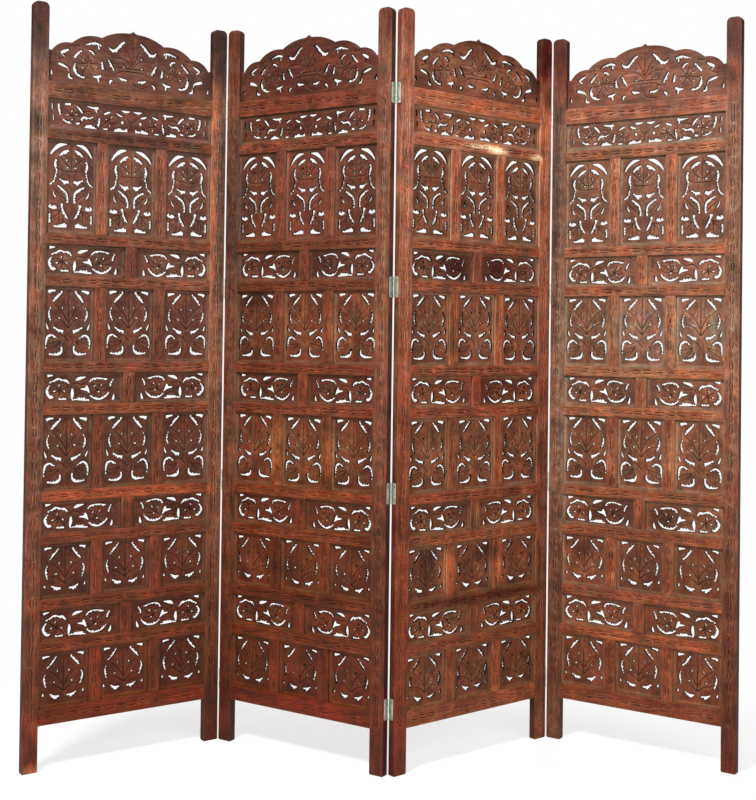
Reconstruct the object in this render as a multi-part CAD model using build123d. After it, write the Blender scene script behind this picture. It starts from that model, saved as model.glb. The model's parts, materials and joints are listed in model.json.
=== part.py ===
"""A four-leaf folding screen of carved and pierced sheesham boards in plain grooved frames.

Each leaf is drawn once in its own frame and then stood in the zigzag: x runs from the left
stile to the right one, y from the front face to the back, z up from the floor. Sizes are in mm.
"""

import os
from math import cos, hypot, radians, sin

from build123d import *

# ---------------------------------------------------------------- frame of one leaf
LEAF_WIDTH = 508.0            # over both stiles
FRAME_THICKNESS = 19.0        # stiles and rails, front to back
STILE_WIDTH = 38.0
STILE_CORNER = 12.0           # radius of a stile's top corners
FOOT_CHAMFER = 4.0            # on a stile's bottom corners
STILE_ABOVE_TOP_RAIL = 187.0  # how far the stiles stand over the top rail
LEG_HEIGHT = 108.0            # floor to bottom rail
BOTTOM_RAIL_HEIGHT = 40.0
TOP_RAIL_HEIGHT = 40.0
RAIL_HEIGHT = 26.0            # each rail between two rows
MUNTIN_WIDTH = 29.0
MUNTIN_SETBACK = 1.0          # muntin face behind the rail face, front and back

# ---------------------------------------------------------------- rows of jali boards
SMALL_ROW = 130.0             # clear heights between rails
OBLONG_ROW = 76.0
MEDIUM_ROW = 180.0
TALL_ROW = 225.0
FRIEZE_ROW = 71.0
ROWS = (                      # from the floor up: pattern, clear height, boards side by side
    ("small", SMALL_ROW, 3),
    ("oblong", OBLONG_ROW, 2),
    ("small", SMALL_ROW, 3),
    ("oblong", OBLONG_ROW, 2),
    ("medium", MEDIUM_ROW, 3),
    ("oblong", OBLONG_ROW, 2),
    ("medium", MEDIUM_ROW, 3),
    ("oblong", OBLONG_ROW, 2),
    ("tall", TALL_ROW, 3),
    ("frieze", FRIEZE_ROW, 1),
)

# ---------------------------------------------------------------- jali boards and their seats
BOARD_THICKNESS = 6.0
GROOVE_DEPTH = 5.0
GROOVE_PLAY = 0.2             # beside each face of a board in its groove
EDGE_PLAY = 0.3               # between a board's top or side edge and what it faces
CREST_RISE = 150.0            # crest's point over the top rail
CREST_SHOULDER = 78.0         # crest's height over the top rail where it meets a stile

# ---------------------------------------------------------------- hinges
HINGE_LENGTH = 50.0
PLATE_WIDTH = 14.5            # from the stile's face across its edge
PLATE_THICKNESS = 1.0
PLATE_GAP = 0.4               # between the two plates of a closed hinge
PLATE_SETBACK = 0.2           # plate behind the face, where the other plate's knuckle turns
KNUCKLE_RADIUS = 2.2
KNUCKLE_GAP = 0.3             # between neighbouring knuckles, along the pin
PIN_RADIUS = 1.1
PIN_CLEARANCE = 0.05          # radial, in every knuckle
BARREL_CLEARANCE = 0.2        # between the barrel and the face that it stands over
BARREL_SIDES = 6              # a barrel and its pin are drawn six-sided to stay light
HINGE_RAILS = (0, 4, 7, 10)   # the rail beside each hinge, counted from the floor
HINGE_LIFTS = (29.0, 17.0, -5.0, 3.0)  # each hinge's middle over that rail's middle

# ---------------------------------------------------------------- how the screen stands
LEAF_1_HEADING = 36.3         # degrees from +X to the first leaf's x
FOLD_12 = 68.0                # degrees that each pair is folded from flat
FOLD_23 = 72.5
FOLD_34 = 73.0

# ---------------------------------------------------------------- worked out
OPEN_LEFT = STILE_WIDTH
OPEN_RIGHT = LEAF_WIDTH - STILE_WIDTH
OPEN_WIDTH = OPEN_RIGHT - OPEN_LEFT
LEAF_MIDDLE = LEAF_WIDTH / 2
BOARD_FRONT = (FRAME_THICKNESS - BOARD_THICKNESS) / 2
JOINT_GAP = 2 * PLATE_THICKNESS + PLATE_GAP
AXIS_OFFSET = KNUCKLE_RADIUS + BARREL_CLEARANCE   # hinge axis in front of, or behind, the face


def rail_levels():
    """The bottom and top height of every rail, from the floor up."""
    heights = [BOTTOM_RAIL_HEIGHT] + [RAIL_HEIGHT] * (len(ROWS) - 1) + [TOP_RAIL_HEIGHT]
    clear = [row_height for _, row_height, _ in ROWS] + [0.0]
    levels = []
    bottom = LEG_HEIGHT
    for height, opening in zip(heights, clear):
        levels.append((bottom, bottom + height))
        bottom += height + opening
    return levels


RAILS = rail_levels()
TOP_RAIL_TOP = RAILS[-1][1]
LEAF_HEIGHT = TOP_RAIL_TOP + STILE_ABOVE_TOP_RAIL


# ---------------------------------------------------------------- small helpers
def block(low, high):
    """A box between its lowest and its highest corner."""
    size = [top - bottom for bottom, top in zip(low, high)]
    return Pos(*low) * Box(*size, align=(Align.MIN, Align.MIN, Align.MIN))


def slab(face, front, thickness):
    """A face drawn in x and z, given its thickness from the depth where its front lies."""
    return extrude(Plane.XZ.offset(-front) * face, -thickness)


def group(solids):
    """Separate solids kept together as one sub-part."""
    return Compound(children=list(solids))


# ---------------------------------------------------------------- frame pieces
def stile(left):
    """A stile with round top corners and chamfered feet."""
    face = Pos(left, 0) * Rectangle(STILE_WIDTH, LEAF_HEIGHT, align=(Align.MIN, Align.MIN))
    face = fillet(face.vertices().group_by(Axis.Y)[-1], STILE_CORNER)
    face = chamfer(face.vertices().group_by(Axis.Y)[0], FOOT_CHAMFER)
    return slab(face, 0, FRAME_THICKNESS)


def rail(bottom, top, groove_below=True):
    """A rail between the stiles, grooved above, and below where boards stand under it."""
    body = block((OPEN_LEFT, 0, bottom), (OPEN_RIGHT, FRAME_THICKNESS, top))
    floors = [top - GROOVE_DEPTH]
    if groove_below:
        floors.append(bottom - GROOVE_DEPTH)
    for floor in floors:
        body -= block(
            (OPEN_LEFT, BOARD_FRONT - GROOVE_PLAY, floor),
            (OPEN_RIGHT, BOARD_FRONT + BOARD_THICKNESS + GROOVE_PLAY, floor + 2 * GROOVE_DEPTH),
        )
    return body


def columns(across):
    """The left and right side of each opening of a row, between stiles and muntins."""
    width = (OPEN_WIDTH - (across - 1) * MUNTIN_WIDTH) / across
    starts = [OPEN_LEFT + number * (width + MUNTIN_WIDTH) for number in range(across)]
    return [(start, start + width) for start in starts]


def row_muntins(number):
    """The muntins of one row, standing between its rails."""
    across = ROWS[number][2]
    bottom, top = RAILS[number][1], RAILS[number + 1][0]
    return [
        block(
            (right, MUNTIN_SETBACK, bottom),
            (right + MUNTIN_WIDTH, FRAME_THICKNESS - MUNTIN_SETBACK, top),
        )
        for _, right in columns(across)[:-1]
    ]


# ---------------------------------------------------------------- openings of the jali
# The carver saws the ground out between the leaves and stems. A pattern lists these cuts as
# (x, z, x, z, bow, width): the two ends of a blade-shaped cut, how far its middle bows to the
# left of the way from end to end, and its width there. x counts from the board's middle line,
# and all are shares of the opening that the board fills: x, bow and width of its width, z of
# its height. A cut with no bow is a plain wedge.
TALL_CUTS = (
    (-0.42, 0.82, -0.08, 0.97, 0.06, 0.06),    # ring over the leaf
    (-0.33, 0.50, -0.35, 0.79, 0.00, 0.07),    # leaf's flank
    (-0.28, 0.59, -0.04, 0.53, 0.00, -0.06),   # wing under the leaf
    (-0.31, 0.49, -0.07, 0.30, 0.09, 0.05),    # side of the stem
    (-0.42, 0.04, -0.07, 0.04, 0.00, 0.07),    # foot
)
MEDIUM_CUTS = (
    (-0.32, 0.76, -0.08, 0.95, 0.00, 0.07),    # shoulder of the leaf
    (-0.42, 0.15, -0.14, 0.31, 0.10, 0.06),    # arch over a lower leaf
)
SMALL_CUTS = (
    (-0.30, 0.66, -0.10, 0.91, 0.00, 0.07),    # shoulder of the leaf
    (-0.27, 0.22, -0.03, 0.12, 0.00, -0.07),   # wing under the leaf
)
OBLONG_CUTS = (
    (-0.42, 0.64, -0.14, 0.64, 0.00, 0.09),    # over the round leaf
    (-0.14, 0.12, 0.09, 0.12, 0.00, 0.08),     # under the stem
    (0.10, 0.66, 0.34, 0.82, 0.00, 0.06),      # over the long leaf
)
FRIEZE_CUTS = (
    (-0.43, 0.30, -0.33, 0.20, 0.00, -0.03),   # under the end leaf
    (-0.30, 0.86, -0.20, 0.86, 0.00, -0.03),   # over the vine
    (-0.12, 0.14, -0.02, 0.14, 0.00, 0.03),    # under the middle leaf
)
CREST_CUTS = (
    (-0.05, 0.82, -0.16, 0.68, 0.02, 0.03),    # over the middle leaf
    (-0.29, 0.70, -0.18, 0.74, 0.00, 0.03),    # over the side leaf
    (-0.36, 0.30, -0.27, 0.16, 0.00, -0.03),   # under the side leaf
    (-0.10, 0.24, -0.01, 0.18, 0.00, -0.03),   # under the middle leaf
)
BOTH_SIDES = (1, -1)
PAIR_SIDES = ((1,), (-1,))    # of a row's two oblong boards, the right one is the left turned over


def cut_face(cut, width, height, side):
    """The outline of one cut; a side of -1 turns it over the board's middle line."""
    x0, z0, x1, z1, bow, cut_width = cut
    start = (x0 * width, z0 * height)
    end = (x1 * width, z1 * height)
    run = (end[0] - start[0], end[1] - start[1])
    length = hypot(*run)
    left = (-run[1] / length, run[0] / length)
    middle = [(a + b) / 2 for a, b in zip(start, end)]
    near, far = (
        (middle[0] + left[0] * share * width, middle[1] + left[1] * share * width)
        for share in (bow, bow + cut_width)
    )
    corners = [start, end, far] if bow == 0 else [start, near, end, far]
    return Polygon(*((side * x, z) for x, z in corners), align=None)


def pierced(outline, cuts, middle, bottom, width, height, sides):
    """A board's outline with its pattern cut out of it."""
    place = Pos(middle, bottom)
    return outline - [
        place * cut_face(cut, width, height, side) for cut in cuts for side in sides
    ]


def jali_board(column, bottom, top, cuts, sides=BOTH_SIDES):
    """A pierced board that fills one opening and stands in the grooves of its two rails."""
    left, right = column
    outline = Pos(left + EDGE_PLAY, bottom - GROOVE_DEPTH) * Rectangle(
        right - left - 2 * EDGE_PLAY,
        top - bottom + 2 * GROOVE_DEPTH - EDGE_PLAY,
        align=(Align.MIN, Align.MIN),
    )
    face = pierced(
        outline, cuts, (left + right) / 2, bottom, right - left, top - bottom, sides
    )
    return slab(face, BOARD_FRONT, BOARD_THICKNESS)


def row_boards(pattern, cuts):
    """Every board of one pattern."""
    boards = []
    for number, (name, _, across) in enumerate(ROWS):
        if name != pattern:
            continue
        for place, column in enumerate(columns(across)):
            sides = PAIR_SIDES[place] if name == "oblong" else BOTH_SIDES
            boards.append(
                jali_board(column, RAILS[number][1], RAILS[number + 1][0], cuts, sides)
            )
    return boards


# The crest's edge falls from its point in scallops. Each row is where a scallop ends, as a
# share of the half width and of the height from shoulder to point, and how round it is, as
# the arc's rise over its chord.
CREST_SCALLOPS = ((0.38, 0.62, 0.07), (0.73, 0.30, 0.13), (0.955, -0.03, 0.16))
CREST_HOLLOW = (0.055, 0.91, -0.12)  # the hollow curve beside the point, in the same way


def crest_edge(side, half_width):
    """One half of the crest's scalloped edge, from the point outwards."""
    point = (0.0, CREST_RISE)
    drop = CREST_RISE - CREST_SHOULDER
    edges = []
    for across, up, roundness in (CREST_HOLLOW, *CREST_SCALLOPS):
        end = (side * across * half_width, CREST_SHOULDER + up * drop)
        chord = (end[0] - point[0], end[1] - point[1])
        middle = ((point[0] + end[0]) / 2, (point[1] + end[1]) / 2)
        top = (
            middle[0] - side * chord[1] * roundness,
            middle[1] + side * chord[0] * roundness,
        )
        edges.append(ThreePointArc(point, top, end))
        point = end
    return edges, point


def crest_board():
    """The scalloped board that stands in the top rail's groove, between the stiles."""
    half_width = OPEN_WIDTH / 2 - EDGE_PLAY
    right_edge, right_end = crest_edge(1, half_width)
    left_edge, left_end = crest_edge(-1, half_width)
    rest = Polyline(
        right_end,
        (half_width, CREST_SHOULDER),
        (half_width, -GROOVE_DEPTH),
        (-half_width, -GROOVE_DEPTH),
        (-half_width, CREST_SHOULDER),
        left_end,
    )
    outline = Pos(LEAF_MIDDLE, TOP_RAIL_TOP) * make_face([*right_edge, rest, *left_edge])
    face = pierced(
        outline, CREST_CUTS, LEAF_MIDDLE, TOP_RAIL_TOP, OPEN_WIDTH, CREST_RISE, BOTH_SIDES
    )
    return slab(face, BOARD_FRONT, BOARD_THICKNESS)


def leaf_parts():
    """The sub-parts of one leaf, in its own frame."""
    return {
        "left_stile": [stile(0)],
        "right_stile": [stile(OPEN_RIGHT)],
        "bottom_rail": [rail(*RAILS[0], groove_below=False)],
        "rails": [rail(*level) for level in RAILS[1:-1]],
        "top_rail": [rail(*RAILS[-1])],
        "muntins": [piece for number in range(len(ROWS)) for piece in row_muntins(number)],
        "small_jali": row_boards("small", SMALL_CUTS),
        "oblong_jali": row_boards("oblong", OBLONG_CUTS),
        "medium_jali": row_boards("medium", MEDIUM_CUTS),
        "tall_jali": row_boards("tall", TALL_CUTS),
        "frieze_jali": row_boards("frieze", FRIEZE_CUTS),
        "crest_jali": [crest_board()],
    }


# ---------------------------------------------------------------- hinges
# A butt hinge of three knuckles, drawn closed with its pin on the z axis. The faces of the two
# leaves lie at AXIS_OFFSET along +y, and their edges half a joint gap to each side. One plate
# has the outer knuckles, in which the pin is staked, and the other turns on the pin.
KNUCKLE_PITCH = HINGE_LENGTH / 3


def bar(radius, bottom, top):
    """A straight bar round the hinge's axis."""
    return Pos(0, 0, bottom) * extrude(RegularPolygon(radius, BARREL_SIDES), top - bottom)


def hinge_plate(side, knuckles):
    """A plate on one side of the joint, with its knuckles between pairs of heights."""
    outer = side * JOINT_GAP / 2
    inner = outer - side * PLATE_THICKNESS
    low_x, high_x = min(outer, inner), max(outer, inner)
    start = AXIS_OFFSET + PLATE_SETBACK
    plate = block((low_x, start, 0), (high_x, AXIS_OFFSET + PLATE_WIDTH, HINGE_LENGTH))
    for bottom, top in knuckles:
        plate += block((low_x, 0, bottom), (high_x, start, top))
        plate += bar(KNUCKLE_RADIUS, bottom, top)
    return plate


def hinge_parts():
    """The plate with the outer knuckles, the plate that turns, and the pin."""
    inner_low, inner_high = KNUCKLE_PITCH, 2 * KNUCKLE_PITCH
    half_gap = KNUCKLE_GAP / 2
    outer_knuckles = (
        (0, inner_low - half_gap),
        (inner_high + half_gap, HINGE_LENGTH),
    )
    inner_knuckle = (inner_low + half_gap, inner_high - half_gap)
    # The bore's flats, and not its corners, clear the pin's corners as the hinge turns.
    bore = (PIN_RADIUS + PIN_CLEARANCE) / cos(radians(180 / BARREL_SIDES))
    return {
        "fixed": hinge_plate(-1, outer_knuckles),
        "turning": hinge_plate(1, (inner_knuckle,)) - bar(bore, *inner_knuckle),
        "pin": bar(PIN_RADIUS, outer_knuckles[0][1], outer_knuckles[1][0]),
    }


# ---------------------------------------------------------------- standing the leaves
def forward(heading, x, y):
    """A step of x and y in a leaf's own frame, turned to the screen's frame."""
    c, s = cos(radians(heading)), sin(radians(heading))
    return (x * c - y * s, x * s + y * c)


HEADINGS = [LEAF_1_HEADING]
for fold in (-FOLD_12, FOLD_23, -FOLD_34):
    HEADINGS.append(HEADINGS[-1] + fold)
FRONT_AXIS = -AXIS_OFFSET
BACK_AXIS = FRAME_THICKNESS + AXIS_OFFSET
JOINT_DEPTHS = (FRONT_AXIS, BACK_AXIS, FRONT_AXIS)   # which face each joint's barrel stands over


def standing():
    """Each leaf's front left corner and each joint's axis, centred on the screen's own box."""
    corners = [(0.0, 0.0)]
    axes = []
    for number, depth in enumerate(JOINT_DEPTHS):
        x, y = corners[-1]
        dx, dy = forward(HEADINGS[number], LEAF_WIDTH + JOINT_GAP / 2, depth)
        axis = (x + dx, y + dy)
        back_x, back_y = forward(HEADINGS[number + 1], -JOINT_GAP / 2, depth)
        axes.append(axis)
        corners.append((axis[0] - back_x, axis[1] - back_y))
    outline = []
    for (x, y), heading in zip(corners, HEADINGS):
        for step in ((0, 0), (LEAF_WIDTH, 0), (0, FRAME_THICKNESS), (LEAF_WIDTH, FRAME_THICKNESS)):
            dx, dy = forward(heading, *step)
            outline.append((x + dx, y + dy))
    centre = [(min(values) + max(values)) / 2 for values in zip(*outline)]
    corners = [(x - centre[0], y - centre[1]) for x, y in corners]
    axes = [(x - centre[0], y - centre[1]) for x, y in axes]
    return corners, axes


def hinge_places(axis, heading):
    """Where the hinges of one joint stand."""
    for rail_number, lift in zip(HINGE_RAILS, HINGE_LIFTS):
        middle = sum(RAILS[rail_number]) / 2 + lift
        yield Location((*axis, middle - HINGE_LENGTH / 2), (0, 0, heading))


def main():
    os.makedirs("parts", exist_ok=True)
    corners, axes = standing()

    for number, (corner, heading) in enumerate(zip(corners, HEADINGS), start=1):
        place = Location((*corner, 0), (0, 0, heading))
        for name, solids in leaf_parts().items():
            export_step(place * group(solids), f"parts/leaf_{number}_{name}.step")

    hinge = hinge_parts()
    for number, (axis, depth) in enumerate(zip(axes, JOINT_DEPTHS), start=1):
        # Over the back faces a hinge is turned about, so its fixed plate is the right leaf's.
        over_front = depth == FRONT_AXIS
        turned = 0 if over_front else 180
        left, right = number, number + 1
        fixed, turning = (left, right) if over_front else (right, left)
        for name, piece, leaf in (
            (f"leaf_{fixed}_plates", hinge["fixed"], fixed),
            (f"leaf_{turning}_plates", hinge["turning"], turning),
            ("pins", hinge["pin"], fixed),
        ):
            heading = HEADINGS[leaf - 1] + turned
            copies = [place * piece for place in hinge_places(axis, heading)]
            export_step(group(copies), f"parts/joint_{left}{right}_{name}.step")
        print(f"joint_{left}{right} axis", [round(value, 3) for value in axis])
    print("headings", [round(value, 3) for value in HEADINGS], "leaf height", LEAF_HEIGHT)


main()
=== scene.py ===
import json
import math

import bpy
import numpy as np
from mathutils import Matrix, Vector
from mathutils.geometry import delaunay_2d_cdt


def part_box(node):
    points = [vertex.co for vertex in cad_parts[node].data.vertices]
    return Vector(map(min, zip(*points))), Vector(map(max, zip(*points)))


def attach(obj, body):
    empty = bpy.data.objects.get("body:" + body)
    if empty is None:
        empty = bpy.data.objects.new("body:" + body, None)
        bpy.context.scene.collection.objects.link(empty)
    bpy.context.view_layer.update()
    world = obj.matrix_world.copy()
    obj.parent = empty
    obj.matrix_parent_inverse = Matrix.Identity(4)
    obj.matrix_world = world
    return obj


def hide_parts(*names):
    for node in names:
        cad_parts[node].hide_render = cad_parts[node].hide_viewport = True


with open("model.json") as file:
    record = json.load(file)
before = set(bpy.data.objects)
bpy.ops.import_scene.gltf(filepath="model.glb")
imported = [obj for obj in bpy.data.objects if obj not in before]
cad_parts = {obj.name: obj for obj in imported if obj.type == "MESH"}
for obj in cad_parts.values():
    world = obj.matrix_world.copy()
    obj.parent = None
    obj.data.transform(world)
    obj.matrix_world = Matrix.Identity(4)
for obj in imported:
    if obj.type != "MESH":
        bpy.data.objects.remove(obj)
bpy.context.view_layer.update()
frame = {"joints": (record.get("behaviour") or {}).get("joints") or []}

# A folding screen of four carved leaves. Each leaf is worked in its own millimetres: x from its
# left stile, y from its front face to its back, z up from the floor. It is then stood where the
# frame has it, in metres.
MM = 0.001
LEAVES = (1, 2, 3, 4)

# ---------------------------------------------------------------- sizes of a leaf, in mm
LEAF_WIDTH = 508.0
THICKNESS = 19.0
STILE_WIDTH = 38.0
STILE_ABOVE_TOP_RAIL = 187.0
STILE_CORNER = 12.0           # round top corners
STILE_FOOT = 2.5              # bevel round its foot
LEG_HEIGHT = 108.0
END_RAIL_HEIGHT = 40.0
RAIL_HEIGHT = 26.0
MUNTIN_WIDTH = 29.0
MUNTIN_SETBACK = 1.0
BOARD_FRONT = 6.5
BOARD_THICKNESS = 6.0
GROOVE_DEPTH = 5.0
GROOVE_PLAY = 0.2
EDGE_PLAY = 0.3
ROWS = (                      # from the floor up: pattern, clear height, boards side by side
    ("small", 130.0, 3),
    ("oblong", 76.0, 2),
    ("small", 130.0, 3),
    ("oblong", 76.0, 2),
    ("medium", 180.0, 3),
    ("oblong", 76.0, 2),
    ("medium", 180.0, 3),
    ("oblong", 76.0, 2),
    ("tall", 225.0, 3),
    ("frieze", 71.0, 1),
)
OPEN_LEFT = STILE_WIDTH
OPEN_RIGHT = LEAF_WIDTH - STILE_WIDTH
OPEN_WIDTH = OPEN_RIGHT - OPEN_LEFT
CREST_RISE = 150.0
CREST_SHOULDER = 78.0
# Scallops from the top down: across as a share of half the crest, up as a share of its rise above
# the shoulder, and how round.
CREST_SCALLOPS = ((0.055, 0.91, -0.12), (0.38, 0.62, 0.07), (0.73, 0.30, 0.13), (0.955, -0.03, 0.16))

# ---------------------------------------------------------------- sizes of a hinge, in mm
HINGE_LENGTH = 50.0
PLATE_WIDTH = 14.5
PLATE_THICKNESS = 1.0
PLATE_GAP = 0.4
PLATE_SETBACK = 0.2
PLATE_CORNER = 2.5
PLATE_SHADE = 0.8              # how dark a plate's painted shade is beside its knuckles, 0 to 1
KNUCKLE_RADIUS = 2.2
KNUCKLE_GAP = 0.3
KNUCKLE_BEVEL = 0.3
PIN_RADIUS = 1.1
PIN_HEAD_RADIUS = 1.8
PIN_HEAD_RISE = 0.9
BARREL_CLEARANCE = 0.2
HINGE_RAILS = (0, 4, 7, 10)   # the rails that hinges sit beside, and how far above their middles
HINGE_LIFTS = (29.0, 17.0, -5.0, 3.0)
JOINT_GAP = 2 * PLATE_THICKNESS + PLATE_GAP
AXIS_OFFSET = KNUCKLE_RADIUS + BARREL_CLEARANCE
LET_IN = 1.1                  # how deep a hinge plate is let into a stile's edge
MORTICE_PLAY = 0.3
SCREW_HEAD = 5.6
SCREW_HEIGHT = 0.5
SCREW_SLOT = 0.9
SCREW_SUNK = 0.12             # how far the middle of a head lies inside the plate's face
SCREW_PLACES = ((12.5, 9.0), (12.5, 41.0))    # from the axis along the plate, and from its foot
ROUND = 20                    # sides of a turned piece

# ---------------------------------------------------------------- how the carver works, in mm
ARRIS = 1.3                   # worn round edge of a rail
STILE_ARRIS = 0.7
MUNTIN_ARRIS = 1.0
CREST_ARRIS = 1.3
CUT_ARRIS = 0.9               # round edge of a sawn opening
MARGIN = 4.5                  # plain band round a board
MARGIN_SLOPE = 1.4
FIELD_DROP = 0.8              # carved field below the band
HOLLOW_DROP = 0.2             # slow hollows that the gouge leaves
VEIN_WIDTH = 4.0
VEIN_TIP = 1.6
VEIN_DEPTH = 1.6
DISH_WIDTH = 6.0              # hollow that the gouge leaves beside a vein
DISH_DEPTH = 0.5
EYE_LENGTH = 5.0
EYE_WIDTH = 3.0
TOOTH = 5.2                   # saw teeth along a leaf's edge
TOOTH_PITCH = 7.4
WANDER = 0.7                  # how far a cut strays from its drawing
RAGGED = 0.25                 # roughness of a cut's plain side
THINNEST = 0.25               # least half width of a cut
MARK_DEPTH = 2.0              # chip-cut marks on the frame
STILE_MARK_PITCH = 27.0
BAR_MARK_PITCH = 30.0
MARK_TIP = 1.8                # how wide one is at its ends
MARK_DRIFT = 1.2              # how far one strays
MARK_RING = 1.3               # plain ring that gives its edge a sharp shade
LENS_HALF = (8.5, 12.5)       # half the length of a lens of two cuts
LENS_BULGE = (3.4, 4.4)
LENS_LEAN = 0.7
LENS_MOUTH = 2.1
LENS_WIDTH = (3.0, 4.4)
CHIP_HALF = (5.0, 9.0)        # half the length of a single cut
CHIP_WIDTH = 4.4
PLANE_WAVES = 0.18            # the hand plane's unevenness
SLIP = (1.6, 1.8)             # how far the same carving is shifted across and up another board
WARP = 1.1                    # and how far it is warped

# ---------------------------------------------------------------- how fine the meshes are, in mm
CUT_STEP = 1.25
VEIN_STEP = 3.0
SAMPLE_STEP = 0.8
CREST_STEP = 5.0
EDGE_STEP = 12.0
BAR_STEP = 13.0
STILE_STEP = 14.0
MARGIN_STEP = 15.0
BOARD_SPACING = 7.0
BAR_SPACING = 10.0
STILE_SPACING = 12.0
CUT_CLEAR = 2.0               # no loose point lies nearer to a cut
WOOD_SHARP = 32               # degrees between faces from which an edge is shaded sharp
STEEL_SHARP = 35


def rail_levels():
    """The bottom and top height of every rail, from the floor up."""
    heights = [END_RAIL_HEIGHT] + [RAIL_HEIGHT] * (len(ROWS) - 1) + [END_RAIL_HEIGHT]
    levels = []
    bottom = LEG_HEIGHT
    for height, clear in zip(heights, [row[1] for row in ROWS] + [0.0]):
        levels.append((bottom, bottom + height))
        bottom += height + clear
    return levels


RAILS = rail_levels()
TOP_RAIL_TOP = RAILS[-1][1]
LEAF_HEIGHT = TOP_RAIL_TOP + STILE_ABOVE_TOP_RAIL


def rail_middle(rail):
    """The height of the middle of a rail."""
    return sum(RAILS[rail]) / 2


def row_middle(row):
    """The height of the middle of a row of boards."""
    return (RAILS[row][1] + RAILS[row + 1][0]) / 2


def columns(across):
    """The left and right side of each opening of a row."""
    width = (OPEN_WIDTH - (across - 1) * MUNTIN_WIDTH) / across
    starts = [OPEN_LEFT + number * (width + MUNTIN_WIDTH) for number in range(across)]
    return [(start, start + width) for start in starts]


# ---------------------------------------------------------------- the carver's patterns, in mm
# x counts from the board's middle line, over which the pattern is mirrored, and z from the bottom
# of its opening. A cut is the side on which it has teeth, 1 for the left of its way and -1 for the
# right, and then its points with the width at each. An eye is a small pierced drop, with its tilt
# in degrees. A vein runs from its deep end to its tip.
TALL = {
    "cuts": [
        (0, (-52, 187, 4), (-43, 200, 7), (-29, 211, 9), (-11, 215, 2)),
        (-1, (-30, 186, 3), (-19, 194, 8), (-7, 201, 4)),
        (1, (-38, 177, 4), (-40, 164, 7), (-37, 150, 4), (-40, 136, 4), (-43, 125, 4), (-53, 115, 5)),
        (-1, (-30, 131, 2), (-22, 125, 6), (-15, 122, 9), (-6, 125, 6)),
        (-1, (-34, 114, 4), (-22, 107, 6), (-12, 98, 6), (-8, 86, 5), (-9, 73, 6)),
        (0, (-44, 102, 2), (-43, 93, 4), (-37, 86, 4)),
        (1, (-54, 64, 9), (-47, 61, 7), (-41, 62, 10), (-34, 61, 4)), (0, (-26, 67, 5), (-18, 68, 7)),
        (-1, (-22, 65, 4), (-18, 52, 6), (-9, 36, 5)), (1, (-52, 45, 4), (-52, 33, 5), (-52, 23, 3)),
        (1, (-42, 15, 3), (-30, 17, 7), (-18, 19, 10), (-10, 18, 9)),
    ],
    "eyes": [(-12, 177, 60), (-10, 159, 20)],
    "veins": [
        ((0, 148), (0, 209)), ((-5, 160), (-18, 171), (-33, 185)), ((-4, 149), (-20, 150), (-34, 154)),
        ((0, 108), (-13, 131)), ((-15, 81), (-32, 97), (-48, 112)), ((-24, 56), (-44, 33)),
        ((-29, 51), (-30, 27)), ((-22, 50), (-17, 28)), ((-26, 54), (-46, 50)),
    ],
}
MEDIUM = {
    "cuts": [
        (0, (-51, 167, 9), (-43, 170, 6), (-32, 171, 3)),
        (-1, (-15, 170, 4), (-22, 163, 6), (-30, 154, 6), (-38, 144, 4)),
        (1, (-43, 133, 2), (-47, 120, 4), (-46, 108, 5), (-41, 97, 2)),
        (0, (-54, 92, 2), (-51, 82, 5), (-48, 77, 3)), (-1, (-36, 84, 3), (-26, 76, 6), (-12, 72, 8)),
        (-1, (-54, 32, 3), (-54, 46, 5), (-51, 59, 6), (-40, 64, 5), (-27, 57, 2)),
        (1, (-47, 19, 3), (-35, 19, 5), (-24, 20, 8), (-16, 25, 7), (-14, 38, 3)),
    ],
    "eyes": [(-14, 131, 60), (-21, 106, 10)],
    "veins": [
        ((0, 84), (0, 173)), ((-3, 98), (-11, 114), (-22, 128), (-40, 143)),
        ((-2, 82), (-14, 97), (-28, 106), (-42, 108)), ((0, 50), (-10, 62), (-24, 66)),
        ((-19, 51), (-47, 43)), ((-20, 47), (-46, 30)), ((-20, 44), (-38, 27)),
    ],
}
SMALL = {
    "cuts": [
        (0, (-51, 117, 8), (-44, 119, 5), (-34, 120, 3)),
        (-1, (-18, 117, 4), (-28, 104, 5), (-39, 92, 3)), (1, (-44, 79, 2), (-47, 65, 5), (-42, 46, 3)),
        (0, (-51, 34, 2), (-49, 26, 6)), (-1, (-33, 29, 2), (-22, 21, 8), (-9, 22, 4)),
    ],
    "eyes": [(-15, 82, 60), (-22, 57, 10)],
    "veins": [
        ((0, 35), (0, 123)), ((-3, 50), (-11, 64), (-22, 76), (-38, 88)),
        ((-2, 35), (-14, 45), (-28, 51), (-42, 52)),
    ],
}
OBLONG_MIDDLE = 100.75        # not mirrored: its x counts from the left side of its opening
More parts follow.
